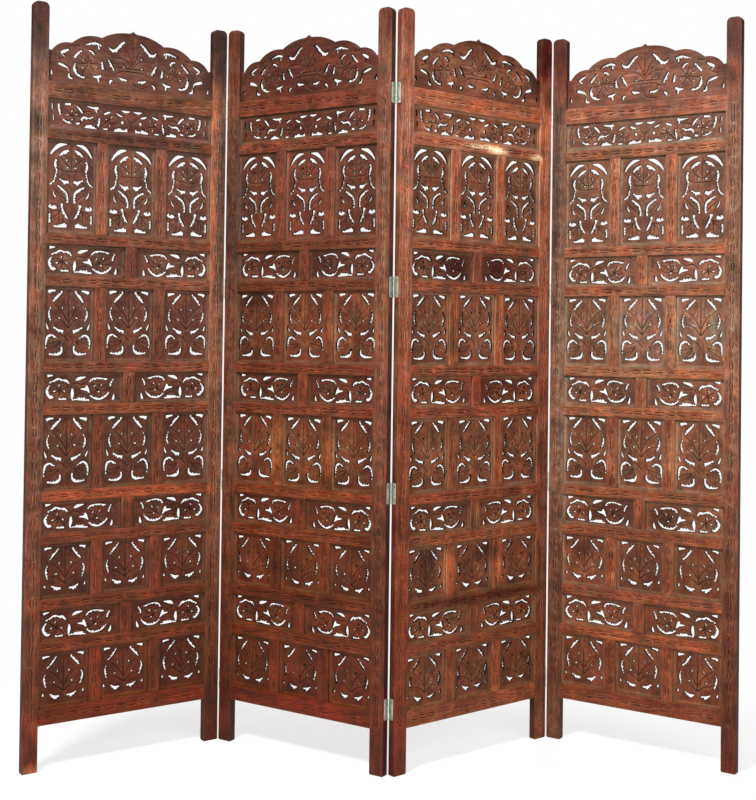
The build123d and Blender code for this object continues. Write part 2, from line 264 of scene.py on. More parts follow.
OBLONG = {
    "cuts": [
        (0, (12, 67, 7), (27, 69, 2)),
        (-1, (17, 51, 3), (28, 55, 4), (38, 60, 6), (50, 57, 4), (59, 56, 7), (68, 48, 3)),
        (1, (19, 45, 3), (12, 33, 7), (15, 23, 7), (22, 17, 7), (29, 18, 5)),
        (1, (40, 12, 4), (60, 12, 5)), (0, (75, 37, 5), (76, 25, 9), (74, 13, 5)),
        (1, (74, 11, 4), (84, 11, 4), (103, 12, 8), (119, 8, 2)),
        (0, (83, 57, 3), (91, 61, 8), (109, 65, 2)), (0, (96, 36, 2), (112, 35, 8)),
        (0, (111, 44, 5), (113, 36, 9), (119, 26, 3)),
        (-1, (117, 53, 3), (125, 60, 5), (142, 62, 4), (164, 59, 4)),
        (1, (178, 60, 2), (173, 49, 5), (169, 39, 2)),
        (1, (120, 20, 3), (131, 13, 5), (146, 11, 5), (160, 17, 6), (169, 26, 3)),
        (0, (181, 23, 3), (179, 13, 7), (176, 8, 5)),
    ],
    "eyes": [(42, 45, 70), (31, 31, 10), (56, 31, -50), (131, 43, 80), (148, 46, 50), (143, 29, 0)],
    "veins": [
        ((44, 34), (46, 52)), ((43, 34), (25, 46)), ((42, 32), (20, 25)), ((44, 31), (41, 17)),
        ((46, 32), (62, 17)), ((46, 35), (67, 40)), ((140, 33), (172, 56)), ((142, 31), (169, 32)),
        ((138, 35), (147, 57)), ((137, 34), (124, 50)), ((137, 32), (124, 24)), ((140, 29), (150, 19)),
        ((70, 41), (82, 50), (99, 46), (112, 52)), ((84, 20), (97, 25), (116, 17)),
    ],
}
FRIEZE = {
    "cuts": [
        (0, (-202, 59, 3), (-201, 45, 3)), (0, (-199, 31, 3), (-199, 18, 3)),
        (1, (-186, 60, 5), (-185, 47, 6), (-182, 33, 4)), (0, (-171, 60, 4), (-155, 61, 6)),
        (0, (-141, 59, 3), (-133, 51, 6), (-126, 43, 4)),
        (0, (-114, 61, 2), (-98, 59, 5), (-85, 60, 7)), (0, (-92, 58, 6), (-90, 49, 4)),
        (-1, (-130, 25, 5), (-122, 32, 7), (-110, 32, 4), (-98, 37, 3)),
        (1, (-176, 22, 3), (-165, 17, 5), (-152, 15, 2)), (0, (-142, 15, 4), (-132, 17, 5)),
        (-1, (-82, 36, 3), (-84, 25, 6), (-86, 13, 3)), (1, (-122, 9, 3), (-110, 12, 9), (-90, 9, 2)),
        (0, (-72, 46, 3), (-62, 50, 5), (-55, 53, 2)), (0, (-41, 52, 2), (-32, 48, 5), (-23, 45, 2)),
        (0, (-28, 60, 2), (-17, 58, 6), (-5, 60, 2)), (0, (-27, 31, 8), (-21, 31, 6)),
        (1, (-45, 9, 3), (-35, 12, 9), (-22, 11, 5), (-10, 12, 8)), (0, (-74, 10, 3), (-61, 10, 4)),
    ],
    "eyes": [
        (-153, 45, 60), (-164, 34, 0), (-141, 38, 45), (-152, 24, 80),
        (-65, 34, 0), (-51, 41, 60), (-56, 19, 80),
    ],
    "veins": [
        ((-155, 35), (-172, 50)), ((-152, 37), (-148, 55)), ((-150, 34), (-131, 34)),
        ((-152, 32), (-142, 21)), ((-156, 33), (-173, 27)), ((-78, 15), (-64, 28), (-48, 38)),
        ((-60, 26), (-41, 24)), ((-63, 30), (-66, 46)), ((-60, 30), (-56, 46)),
        ((-125, 45), (-110, 49), (-98, 43)), ((0, 18), (0, 37)), ((-3, 30), (-14, 44)),
        ((-104, 18), (-94, 27)),
    ],
}
CREST = {
    "cuts": [
        (-1, (20, 122, 5), (31, 113, 7), (41, 100, 7), (50, 95, 8), (60, 98, 6)),
        (0, (60, 98, 5), (63, 106, 2)), (-1, (81, 103, 5), (96, 106, 7), (109, 104, 5), (122, 100, 2)),
        (0, (90, 103, 4), (88, 94, 6)), (-1, (99, 79, 4), (107, 85, 6), (115, 89, 2)),
        (-1, (131, 86, 3), (141, 75, 6), (151, 65, 5)), (0, (163, 84, 3), (176, 77, 7), (184, 73, 4)),
        (0, (183, 73, 4), (174, 65, 3)),
        (-1, (148, 53, 2), (149, 38, 8), (143, 26, 6), (130, 21, 5), (123, 22, 3)),
        (1, (79, 65, 3), (79, 50, 7), (74, 43, 3)), (1, (63, 72, 3), (57, 58, 7), (49, 47, 4)),
        (0, (80, 31, 4), (90, 25, 7), (103, 25, 3)), (0, (90, 24, 6), (88, 13, 5)),
        (0, (190, 46, 6), (177, 43, 7), (167, 38, 4), (164, 30, 3)),
        (0, (162, 27, 3), (162, 17, 6), (153, 14, 3)), (0, (207, 31, 2), (206, 18, 6)),
        (-1, (13, 26, 3), (24, 26, 7), (36, 31, 3)), (0, (51, 22, 3), (58, 18, 6), (58, 11, 4)),
    ],
    "eyes": [(23, 84, 60), (24, 59, 10), (103, 68, 70), (127, 64, 40), (94, 50, 10), (129, 44, -10)],
    "veins": [
        ((0, 57), (0, 128)), ((4, 62), (14, 74), (32, 79), (57, 78)), ((3, 68), (10, 88), (20, 106)),
        ((4, 55), (28, 56), (47, 55)), ((2, 48), (26, 47), (44, 39)), ((114, 60), (117, 78)),
        ((118, 59), (137, 70)), ((119, 55), (142, 50)), ((117, 51), (127, 33)), ((111, 51), (99, 36)),
        ((109, 56), (87, 57)), ((110, 60), (99, 73)), ((0, 20), (12, 12), (30, 9)),
        ((140, 96), (158, 92)), ((176, 62), (192, 56)),
    ],
}
PATTERNS = {
    "tall": TALL, "medium": MEDIUM, "small": SMALL,
    "oblong": OBLONG, "frieze": FRIEZE, "crest": CREST,
}


# ---------------------------------------------------------------- drawing in the leaf's plane
def smooth_run(points, step):
    """A smooth run through points, with what each of them carries, about every step mm."""
    knots = np.array(points, float)
    knots = np.vstack([2 * knots[0] - knots[1], knots, 2 * knots[-1] - knots[-2]])
    rows = []
    for a, b, c, d in zip(knots, knots[1:], knots[2:], knots[3:]):
        count = max(1, round(np.hypot(*(c - b)[:2]) / step))
        t = np.arange(count)[:, None] / count
        bend = (2 * a - 5 * b + 4 * c - d) * t**2 + (3 * b - a - 3 * c + d) * t**3
        rows.append(0.5 * (2 * b + (c - a) * t + bend))
    return np.vstack([*rows, knots[-2][None]])


def blade(run, grow=0.0, teeth=0, phase=0.0):
    """The closed outline of a run of points and widths, with teeth on one side."""
    middle, half = run[:, :2].copy(), np.maximum(run[:, 2] / 2, 0.2) + grow
    way = np.gradient(middle, axis=0)
    way /= np.linalg.norm(way, axis=1)[:, None] + 1e-9
    middle[0] -= way[0] * grow
    middle[-1] += way[-1] * grow
    left = np.stack([-way[:, 1], way[:, 0]], 1)
    gone = np.concatenate([[0], np.cumsum(np.linalg.norm(np.diff(run[:, :2], axis=0), axis=1))])
    pace = (gone + 1.7 * np.sin(gone * 0.33 + 5 * phase)) / (TOOTH_PITCH * (0.85 + 0.4 * phase))
    bite = TOOTH * ((pace + phase) % 1 - 0.55) * (0.8 + 0.3 * np.sin(gone * 0.8 + 7 * phase))
    rough = RAGGED * np.sin(gone * 2.1 + 9 * phase) if teeth else 0 * gone
    bite[[0, -1]] = 0
    left_half = np.maximum(half + (bite if teeth > 0 else rough), THINNEST)
    right_half = np.maximum(half + (bite if teeth < 0 else rough), THINNEST)
    return np.vstack([middle + left * left_half[:, None], (middle - left * right_half[:, None])[::-1]])


def subdivide(corners, step):
    """A closed outline with points at most step mm apart."""
    points = []
    for a, b in zip(corners, [*corners[1:], corners[0]]):
        count = max(1, math.ceil(np.hypot(*(b - a)) / step))
        points += [a + (b - a) * n / count for n in range(count)]
    return np.array(points)


def box_outline(low, high, step):
    """A rectangle from its lower left corner round to the right, with a point every step mm."""
    return subdivide(np.array((low, (high[0], low[1]), high, (low[0], high[1])), float), step)


def inset(outline, distance):
    """An outline moved inwards; it runs anticlockwise."""
    normals = []
    for way in (outline - np.roll(outline, 1, 0), np.roll(outline, -1, 0) - outline):
        way = way / np.linalg.norm(way, axis=1)[:, None]
        normals.append(np.stack([-way[:, 1], way[:, 0]], 1))
    mitre = normals[0] + normals[1]
    mitre /= np.maximum((mitre**2).sum(1), 0.5)[:, None] / 2
    return outline + mitre * distance


def arc_points(start, end, roundness, step):
    """Points from start to end, without the end, on an arc that rises left of its chord."""
    start, end = np.array(start, float), np.array(end, float)
    chord = end - start
    count = max(2, round(np.hypot(*chord) / step))
    t = np.arange(count)[:, None] / count
    rise = np.array([-chord[1], chord[0]]) * roundness
    return start + chord * t + rise * 4 * t * (1 - t)


def scalloped():
    """The crest's whole outline, with its foot in the top rail's groove."""
    half = OPEN_WIDTH / 2 - EDGE_PLAY
    drop = CREST_RISE - CREST_SHOULDER
    left, start = [], (0.0, CREST_RISE)
    for across, up, roundness in CREST_SCALLOPS:
        end = (-across * half, CREST_SHOULDER + up * drop)
        left.append(arc_points(start, end, -roundness, CREST_STEP))
        start = end
    left = np.vstack([*left, [start, (-half, CREST_SHOULDER)]])
    foot = subdivide(np.array([(-half, -GROOVE_DEPTH), (half, -GROOVE_DEPTH)]), EDGE_STEP)
    return np.vstack([left, foot[: len(foot) // 2 + 1], left[1:][::-1] * (-1, 1)])


def inside(points, starts, ends):
    """Which points lie inside the closed outline, or outlines, that the segments make."""
    x, z = points[:, 0, None], points[:, 1, None]
    crossed = (starts[:, 1] > z) != (ends[:, 1] > z)
    rise = ends[:, 1] - starts[:, 1]
    rise = np.where(np.abs(rise) < 1e-12, 1e-12, rise)
    at = starts[:, 0] + (z - starts[:, 1]) * (ends[:, 0] - starts[:, 0]) / rise
    return (crossed & (x < at)).sum(1) % 2 == 1


def within(points, outline):
    """Which points lie inside one closed outline, looking only near it."""
    low, high = outline.min(0), outline.max(0)
    near = np.flatnonzero(((points >= low) & (points <= high)).all(1))
    found = np.zeros(len(points), bool)
    found[near] = inside(points[near], outline, np.roll(outline, -1, 0))
    return found


def distance_to(points, samples):
    """The distance of every point to every sample."""
    return np.sqrt(((points[:, None] - samples[None]) ** 2).sum(2))


def distance_to_outline(points, outline):
    """The distance of every point to a closed outline."""
    ways = np.roll(outline, -1, 0) - outline
    best = np.full(len(points), np.inf)
    for start, way, length in zip(outline, ways, (ways**2).sum(1)):
        t = np.clip(((points - start) @ way) / length, 0, 1)
        best = np.minimum(best, np.linalg.norm(points - start - t[:, None] * way, axis=1))
    return best


def waves(points, length, rng, count=5):
    """A smooth wander from -1 to 1 whose waves are about length mm long."""
    total = np.zeros(len(points))
    for _ in range(count):
        angle = rng.uniform(0, math.tau)
        wave = math.tau / (length * rng.uniform(0.6, 1.6))
        way = np.array([math.cos(angle), math.sin(angle)]) * wave
        total += np.sin(points @ way + rng.uniform(0, math.tau))
    return total / count


def scatter(edge, low, high, spacing, rng):
    """Loose points in a box and inside an outline, in a shaken grid."""
    xs = np.arange(low[0] + spacing / 2, high[0], spacing)
    zs = np.arange(low[1] + spacing / 2, high[1], spacing)
    grid = np.stack(np.meshgrid(xs, zs), -1).reshape(-1, 2)
    grid += rng.uniform(-0.3, 0.3, grid.shape) * spacing
    return grid[within(grid, edge)]


def triangulated(points, edges, merged):
    """Anticlockwise triangles over a plane that keep the edges; points nearer than merged are one."""
    flat = [Vector((float(x), float(z))) for x, z in points]
    pairs = [(int(a), int(b)) for a, b in edges]
    found, _, faces, *_ = delaunay_2d_cdt(flat, pairs, [], 0, merged)
    found, faces = np.array([tuple(v) for v in found]), np.array(faces)
    a, b, c = (found[faces[:, n]] for n in range(3))
    turn = (b[:, 0] - a[:, 0]) * (c[:, 1] - a[:, 1]) - (b[:, 1] - a[:, 1]) * (c[:, 0] - a[:, 0])
    faces[turn < 0] = faces[turn < 0][:, ::-1]
    return found, faces[np.abs(turn) > 1e-7]


def mesh_plane(edge, holes=(), loops=(), lines=(), loose=()):
    """Points and triangles inside an edge but not in its holes, which keep every loop and line."""
    points, edges = [], []
    closed_runs = [(loop, True) for loop in (edge, *holes, *loops)]
    for run, closed in closed_runs + [(line, False) for line in lines]:
        first = len(points)
        points.extend(run)
        edges.extend((first + n, first + n + 1) for n in range(len(run) - 1))
        if closed:
            edges.append((first + len(run) - 1, first))
    points, faces = triangulated([*points, *loose], edges, 1e-4)
    centres = points[faces].mean(1)
    keep = within(centres, edge)
    for hole in holes:
        keep &= ~within(centres, hole)
    return points, faces[keep]


def flat_cap(points, edges):
    """Triangles, anticlockwise, over the plane shapes that the edges enclose."""
    found, faces = triangulated(points, edges, 1e-6)
    return faces[inside(found[faces].mean(1), points[edges[:, 0]], points[edges[:, 1]])]


def at_depth(flat, depth):
    """Points of the leaf's plane at their depth, or depths, behind its front."""
    return np.column_stack([flat[:, 0], np.broadcast_to(depth, len(flat)), flat[:, 1]])


def rim_of(faces):
    """The directed edges that only one triangle has."""
    directed = np.vstack([faces[:, [0, 1]], faces[:, [1, 2]], faces[:, [2, 0]]])
    size = directed.max() + 1
    key = directed[:, 0] * size + directed[:, 1]
    back = directed[:, 1] * size + directed[:, 0]
    return directed[~np.isin(key, back)]


# ---------------------------------------------------------------- a skin: points, faces, finish
# The finish of a point is its dirt and painted shade, its wear and painted highlight, and how bare of stain
# it is.
CLEAN = (0.0, 0.0, 0.0)
FULL_SHADE = (1.0, 0.0, 0.0)        # full painted shade, as on the walls of openings and grooves
SHADED_SIDE = (0.42, 0.0, 0.0)  # painted shade on the outer edge of a stile
BARE_SIDE = (0.0, 0.1, 0.55)  # the inner edges, where the stain never reached
BARE_BACK = (0.35, 0.0, 0.3)  # the back of a board, thinly stained


class Skin:
    """A closed mesh in the making."""

    def __init__(self):
        self.points, self.faces, self.finish, self.own = [], [], [], []
        self.count = 0

    def add(self, points, finish):
        """Adds points and gives the number of the first."""
        first = self.count
        points = np.asarray(points, float).reshape(-1, 3)
        self.points.append(points)
        self.finish.append(np.broadcast_to(np.asarray(finish, float), (len(points), 3)))
        self.count += len(points)
        return first

    def fill(self, faces, finish=None):
        """Adds triangles, with a finish of their own if they don't take their points'."""
        faces = np.asarray(faces, int).reshape(-1, 3)
        self.faces.append(faces)
        if finish is not None:
            finish = np.broadcast_to(np.asarray(finish, float), (len(faces), 3))
        self.own.append(finish)

    def wall(self, upper, lower, finish=None):
        """Joins two rows of directed edges, the upper one nearer the front."""
        a, b = np.asarray(upper).T
        c, d = np.asarray(lower).T
        self.fill(np.stack([a, c, d], 1), finish)
        self.fill(np.stack([a, d, b], 1), finish)

    def arrays(self):
        """The points, the triangles, and the finish at each corner of each triangle."""
        faces = np.vstack(self.faces)
        corners = np.vstack(self.finish)[faces]
        first = 0
        for batch, own in zip(self.faces, self.own):
            if own is not None:
                corners[first:first + len(batch)] = own[:, None]
            first += len(batch)
        return np.vstack(self.points), faces, corners


def drop_of(distance, radius):
    """How far a quarter round of that radius lies below the face, at a distance from the edge."""
    left = np.clip(1 - distance / radius, 0, 1)
    return radius * (1 - np.sqrt(np.maximum(1 - left**2, 0)))


def grooves(points, runs, depth):
    """Each point's share of a groove's depth, its depth in mm, and how far and where the nearest is."""
    rows = []
    for run in runs:
        fine = smooth_run(run, SAMPLE_STEP)
        share = np.clip(fine[:, 2:3] / max(fine[:, 2].max(), 1e-6), 0.25, 1)
        rows.append(np.hstack([fine[:, :2], np.maximum(fine[:, 2:3] / 2, 0.3), depth * share]))
    samples = np.vstack(rows)
    away = distance_to(points, samples[:, :2])
    share = np.clip(1 - away / samples[:, 2], 0, 1)
    nearest = samples[away.argmin(1), :2]
    return share.max(1), (share * samples[:, 3]).max(1), away.min(1), nearest


# ---------------------------------------------------------------- jali boards
def cut_outlines(drawing, middle, sides, rng):
    """The outlines of all cuts and eyes, and of the rings round them where their edges turn."""
    cuts, rings, eyes = [], [], []
    for x, z, tilt in drawing["eyes"]:
        across = EYE_LENGTH / 2 * math.cos(math.radians(tilt))
        up = EYE_LENGTH / 2 * math.sin(math.radians(tilt))
        eyes.append((0, (x - across, z - up, EYE_WIDTH), (x + across, z + up, EYE_WIDTH)))
    for side in sides:
        for teeth, *points in drawing["cuts"] + eyes:
            points = np.array(points, float) - (middle, 0, 0)
            points[:, :2] += rng.uniform(-WANDER, WANDER, (len(points), 2))
            run = smooth_run(points, CUT_STEP)
            phase = rng.uniform()
            cuts.append(blade(run, 0.0, teeth, phase) * (side, 1))
            rings.append(blade(run, CUT_ARRIS, teeth, phase) * (side, 1))
    return cuts, rings


def vein_runs(drawing, middle, sides, rng):
    """The points and widths of all veins; one on the middle line is carved once."""
    runs = []
    for side in sides:
        for points in drawing["veins"]:
            central = points[0][0] == 0
            widths = np.linspace(VEIN_WIDTH, VEIN_TIP, len(points))
            run = np.column_stack([np.array(points, float) - (middle, 0), widths])
            run[:, :2] += rng.uniform(-WANDER, WANDER, (len(points), 2)) * (not central)
            run[:, 0] *= side
            if side > 0 or not central:
                runs.append(run)
    return runs


def carved_front(points, low, high, edge, outlines, veins, rng, crest):
    """How far a board's front lies behind its plain band at each point, and its finish."""
    vein, groove, lip, _ = grooves(points, veins, VEIN_DEPTH)
    cut = distance_to(points, outlines).min(1)
    dish = np.clip(1 - lip / DISH_WIDTH, 0, 1) ** 2
    hollow = (waves(points, 26.0, rng) + 1) * HOLLOW_DROP
    ledge, shaded = (points - low).min(1), (high - points).min(1)
    if crest:
        border = np.full(len(points), np.inf)
        field = 1.0
        drop = drop_of(distance_to_outline(points, edge), CREST_ARRIS) * (points[:, 1] > 1)
    else:
        border = np.minimum(ledge, shaded)
        field = np.clip((border - MARGIN) / MARGIN_SLOPE, 0, 1)
        drop = FIELD_DROP * field
    drop = drop + field * (hollow + DISH_DEPTH * dish + groove)
    drop += drop_of(cut, CUT_ARRIS) * 0.8
    drop *= np.clip(border, 0, 1)

    # Veins are darkened, cut rims get painted shade; beside them is wear and painted highlight.
    dirt_and_shade = np.clip(vein**0.6, 0, 1) * 0.9 + 0.95 * np.exp(-cut / 1.1)
    wear_and_highlight = 0.45 * np.exp(-((cut - 2.2) ** 2) / 1.6) + 0.65 * np.exp(-((lip - 3.0) ** 2) / 1.4)
    wear_and_highlight += 0.35 * np.clip(waves(points, 34.0, rng), 0, 1)
    # The brush missed the plain band: it is pale, and paler still along its left and lower edges.
    dull = np.clip(1.15 - border / (MARGIN + MARGIN_SLOPE + 1.5), 0, 1)
    dull *= 0.75 + 0.4 * waves(points, 40.0, rng)
    if not crest:
        # Painted shade where the band meets the frame: wider along the top and right edges.
        dirt_and_shade = np.maximum(dirt_and_shade, np.exp(-np.maximum(shaded, 0) / 1.4) * 0.9)
        dirt_and_shade = np.maximum(dirt_and_shade, np.exp(-np.maximum(ledge, 0) / 0.6) * 0.5)
        dull = np.clip(dull * (1 + 0.7 * np.exp(-np.maximum(ledge, 0) / 4.0)), 0, 1)
    return drop, np.column_stack([np.clip(dirt_and_shade, 0, 1), np.clip(wear_and_highlight, 0, 1), dull])


def board(pattern, width, height, seed):
    """A carved and pierced board in front of its own middle line, as points, faces and finish."""
    rng = np.random.default_rng(seed)
    drawing = PATTERNS[pattern]
    crest = pattern == "crest"
    middle, sides = (OBLONG_MIDDLE, (1,)) if pattern == "oblong" else (0.0, (1, -1))
    low, high = (-width / 2, 0), (width / 2, height)
    cuts, rings = cut_outlines(drawing, middle, sides, rng)
    veins = vein_runs(drawing, middle, sides, rng)
    if crest:
        edge = scalloped()
        steps = [inset(edge, CREST_ARRIS)]
    else:
        half = width / 2 - EDGE_PLAY
        top = height + GROOVE_DEPTH - EDGE_PLAY
        edge = box_outline((-half, -GROOVE_DEPTH), (half, top), EDGE_STEP)
        steps = [box_outline(np.add(low, far), np.subtract(high, far), MARGIN_STEP)
                 for far in (MARGIN, MARGIN + MARGIN_SLOPE)]
    fine = [smooth_run(run, VEIN_STEP) for run in veins]
    outlines = np.vstack(cuts)
    loose = scatter(edge, low, high, BOARD_SPACING, rng)
    loose = loose[distance_to(loose, outlines).min(1) > CUT_CLEAR]
    loops = [*rings, *steps, *(blade(run) for run in fine)]
    points, faces = mesh_plane(edge, cuts, loops, [run[:, :2] for run in fine], loose)
    used = np.unique(faces)
    points, faces = points[used], np.searchsorted(used, faces)

    drop, finish = carved_front(points, low, high, edge, outlines, veins, rng, crest)
    skin = Skin()
    skin.add(at_depth(points, BOARD_FRONT + drop), finish)
    skin.fill(faces)
    rim = rim_of(faces)
    rim_points = np.unique(rim)
    order = np.searchsorted(rim_points, rim)
    flat = points[rim_points]
    first = skin.add(at_depth(flat, BOARD_FRONT + BOARD_THICKNESS), BARE_BACK)
    skin.fill(flat_cap(flat, order)[:, ::-1] + first)
    # The walls of the openings are darkened with painted shade.
    skin.wall(rim, order + first, FULL_SHADE)
    return skin.arrays()


# ---------------------------------------------------------------- frame members
def marks_along(start, end, across, upright, rng, pitch, lenses):
    """Chip-cut marks in a row: lenses of two cuts, and now and then one short cut."""
    runs = []
    at = start + rng.uniform(13, 22)
    while at < end - 14:
        drift = rng.uniform(-MARK_DRIFT, MARK_DRIFT)
        if rng.uniform() < lenses:
            long, gap = rng.uniform(*LENS_HALF), rng.uniform(*LENS_BULGE)
            lean = rng.uniform(-LENS_LEAN, LENS_LEAN)
            for side in (-1, 1):
                slip = rng.uniform(-MARK_DRIFT, MARK_DRIFT)
                mouth = side * LENS_MOUTH
                runs.append([(at - long + slip, across + drift - lean + mouth, MARK_TIP),
                             (at + slip, across + drift + side * gap, rng.uniform(*LENS_WIDTH)),
                             (at + long + slip, across + drift + lean + mouth, MARK_TIP)])
        else:
            long = rng.uniform(*CHIP_HALF)
            runs.append([(at - long, across + drift, MARK_TIP), (at, across + drift, CHIP_WIDTH),
                         (at + long, across + drift, MARK_TIP)])
        at += pitch * rng.uniform(0.85, 1.15)
    return [np.array(run, float)[:, [1, 0, 2] if upright else [0, 1, 2]] for run in runs]


def bar_face(edge, marks, arris, rng, spacing):
    """One face of a bar: its points, triangles, depth below the plane, and finish."""
    low, high = edge.min(0), edge.max(0)
    fine = [smooth_run(run, VEIN_STEP) for run in marks]
    loops = [inset(edge, arris * 0.3), inset(edge, arris)]
    loops += [blade(run, grow) for run in fine for grow in (0.0, MARK_RING)]
    loose = scatter(edge, low + arris + 1, high - arris - 1, spacing, rng)
    points, faces = mesh_plane(edge, (), loops, [run[:, :2] for run in fine], loose)
    edge_distance = distance_to_outline(points, edge)
    radius = arris * (1 + 0.3 * waves(points, 60.0, rng))
    drop = drop_of(edge_distance, radius)
    drop += PLANE_WAVES * (1 + waves(points, 55.0, rng)) * np.clip(edge_distance / arris, 0, 1)
    dirt_and_shade = lit_side_highlight = np.zeros(len(points))
    if marks:
        vein, groove, away, nearest = grooves(points, marks, MARK_DEPTH)
        drop += groove
        # Grooves darkened; a pale ring beside each mark is a painted highlight, brightest lower right.
        darkened = np.clip(0.75 + 0.7 * waves(points, 130.0, rng), 0.35, 1)
        dirt_and_shade = np.clip(vein**0.5 * 1.15, 0, 1) * darkened
        right_or_below = (points - nearest) @ (0.5, -0.5)
        lit_side_highlight = np.exp(-((away - 1.9) ** 2) / 0.5) * np.clip(0.7 + right_or_below, 0, 1)
    # Painted shade along the bar's edges.
    edge_shade = np.exp(-edge_distance / 1.3) * np.clip(0.25 + 0.9 * waves(points, 50.0, rng), 0, 1)
    dirt_and_shade = np.maximum(dirt_and_shade, 0.85 * edge_shade)
    wear_and_highlight = np.clip(1 - edge_distance / (arris * 1.8), 0, 1) * (0.6 + 0.5 * waves(points, 45.0, rng))
    wear_and_highlight += 0.3 * np.clip(waves(points, 70.0, rng), 0, 1) + lit_side_highlight
    finish = np.column_stack([dirt_and_shade, np.clip(wear_and_highlight, 0, 1), np.zeros(len(points))])
    return points, faces, drop, finish


def bar(edge, marks, arris, setback, rng, spacing, side_finish, grooved=()):
    """A bar with a marked front, a plain back and walls; grooved lists -1 for below, 1 above."""
    skin = Skin()
    points, faces, drop, finish = bar_face(edge, marks, arris, rng, spacing)
    skin.add(at_depth(points, setback + drop), finish)
    skin.fill(faces)
    points, faces, drop, finish = bar_face(edge, [], arris, rng, spacing * 2)
    first = skin.add(at_depth(points, THICKNESS - setback - drop), finish)
    skin.fill(faces[:, ::-1] + first)
    front = np.column_stack([np.arange(len(edge)), np.roll(np.arange(len(edge)), -1)])
    rear = front + first
    if not grooved:
        middle = (edge + np.roll(edge, -1, 0)) / 2
        skin.wall(front, rear, side_finish(middle))
        return skin.arrays()
    grooved_sides(skin, edge, front, rear, grooved)
    close_ends(skin, edge)
    points, faces, finish = skin.arrays()
    used = np.unique(faces)
    return points[used], np.searchsorted(used, faces), finish


def grooved_sides(skin, edge, front, rear, grooved):
    """The lower and upper side of a bar, with a groove for the boards where it is grooved."""
    near, far = BOARD_FRONT - GROOVE_PLAY, BOARD_FRONT + BOARD_THICKNESS + GROOVE_PLAY
    for side in (-1, 1):
        part = on_side(edge, side)
        chain = [front]
        floor = edge - (0, side * GROOVE_DEPTH)
        steps = ((edge, near), (floor, near), (floor, far), (edge, far))
        for flat, depth in steps if side in grooved else ():
            chain.append(front + skin.add(at_depth(flat, depth), CLEAN))
        chain.append(rear)
        for number, (upper, lower) in enumerate(zip(chain, chain[1:])):
            lip = number in (0, len(chain) - 2)
            # The lips are bare wood; the groove's inner walls get painted shade.
            skin.wall(upper[part], lower[part], BARE_SIDE if lip else FULL_SHADE)


def on_side(edge, side):
    """Which of a rectangle's outline segments lie along its lower or upper side."""
    level = edge[:, 1].min() if side < 0 else edge[:, 1].max()
    flat = np.abs(edge[:, 1] - level) < 1e-6
    return flat & np.roll(flat, -1)


def close_ends(skin, edge):
    """Closes both ends of a grooved bar, whose open edges lie in the end planes."""
    points, faces, _ = skin.arrays()
    rim = rim_of(faces)
    for side, level in ((-1, edge[:, 0].min()), (1, edge[:, 0].max())):
        part = rim[(np.abs(points[rim][:, :, 0] - level) < 1e-6).all(1)]
        used = np.unique(part)
        cap = flat_cap(points[used][:, 1:], np.searchsorted(used, part))
        skin.fill(used[cap if side > 0 else cap[:, ::-1]], BARE_SIDE)


def quarter_round(right, top, radius):
    """Points round an upper right corner, from its side to its top."""
    turn = np.linspace(0, math.pi / 2, 6)
    return np.column_stack([right - radius + radius * np.cos(turn), top - radius + radius * np.sin(turn)])


def stile_outline(left, hinged):
    """A stile's outline with round top corners, let in for hinges on its outer side."""
    right = left + STILE_WIDTH
    side = -1 if left == 0 else 1
    if hinged:
        left, right = (left - LET_IN, right) if side < 0 else (left, right + LET_IN)
    outer = right if side > 0 else left
    round_right = quarter_round(right, LEAF_HEIGHT, STILE_CORNER)
    round_left = np.column_stack([left + right - round_right[::-1, 0], round_right[::-1, 1]])
    notches = []
    for rail, lift in zip(HINGE_RAILS, HINGE_LIFTS) if hinged else ():
        middle, half = rail_middle(rail) + lift, HINGE_LENGTH / 2 + MORTICE_PLAY
        notches += [(outer, middle - half), (outer - side * LET_IN, middle - half),
                    (outer - side * LET_IN, middle + half), (outer, middle + half)]
    going_up, going_down = (notches, []) if side > 0 else ([], notches[::-1])
    corners = [(left + STILE_FOOT, 0), (right - STILE_FOOT, 0), (right, STILE_FOOT), *going_up,
               *round_right, *round_left, *going_down, (left, STILE_FOOT)]
    return subdivide([np.array(corner, float) for corner in corners], STILE_STEP)


def stile_sides(left):
    """The finish of a stile's edges: painted shade outside, bare inside between the end rails."""
    inner = STILE_WIDTH if left == 0 else OPEN_RIGHT

    def finish(middle):
        bare = (np.abs(middle[:, 0] - inner) < 0.1) & (middle[:, 1] > LEG_HEIGHT)
        bare &= middle[:, 1] < TOP_RAIL_TOP
        return np.where(bare[:, None], BARE_SIDE, SHADED_SIDE)

    return finish


def bare_sides(middle):
    """The finish of the edges of a rail or a muntin."""
    return np.broadcast_to(BARE_SIDE, (len(middle), 3))


# ---------------------------------------------------------------- placing in the frame
def leaf_place(number):
    """From a leaf's own millimetres to the frame, by the middles of its two stiles."""
    middles = []
    for name in ("left_stile", "right_stile"):
        low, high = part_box(f"leaf_{number}_{name}")
        middles.append((low + high) / 2)
    across = middles[1] - middles[0]
    heading = math.atan2(across.y, across.x)
    place = Matrix.Translation((middles[0].x, middles[0].y, 0)) @ Matrix.Rotation(heading, 4, "Z")
    return place @ Matrix.Scale(MM, 4) @ Matrix.Translation((-STILE_WIDTH / 2, -THICKNESS / 2, 0))


def in_frame(skin, matrix):
    """A skin with its points in the frame."""
    matrix = np.array(matrix)
    return (skin[0] @ matrix[:3, :3].T + matrix[:3, 3], *skin[1:])


# ---------------------------------------------------------------- materials
BLACK = (0.0, 0.0, 0.0)
WHITE = (1.0, 1.0, 1.0)
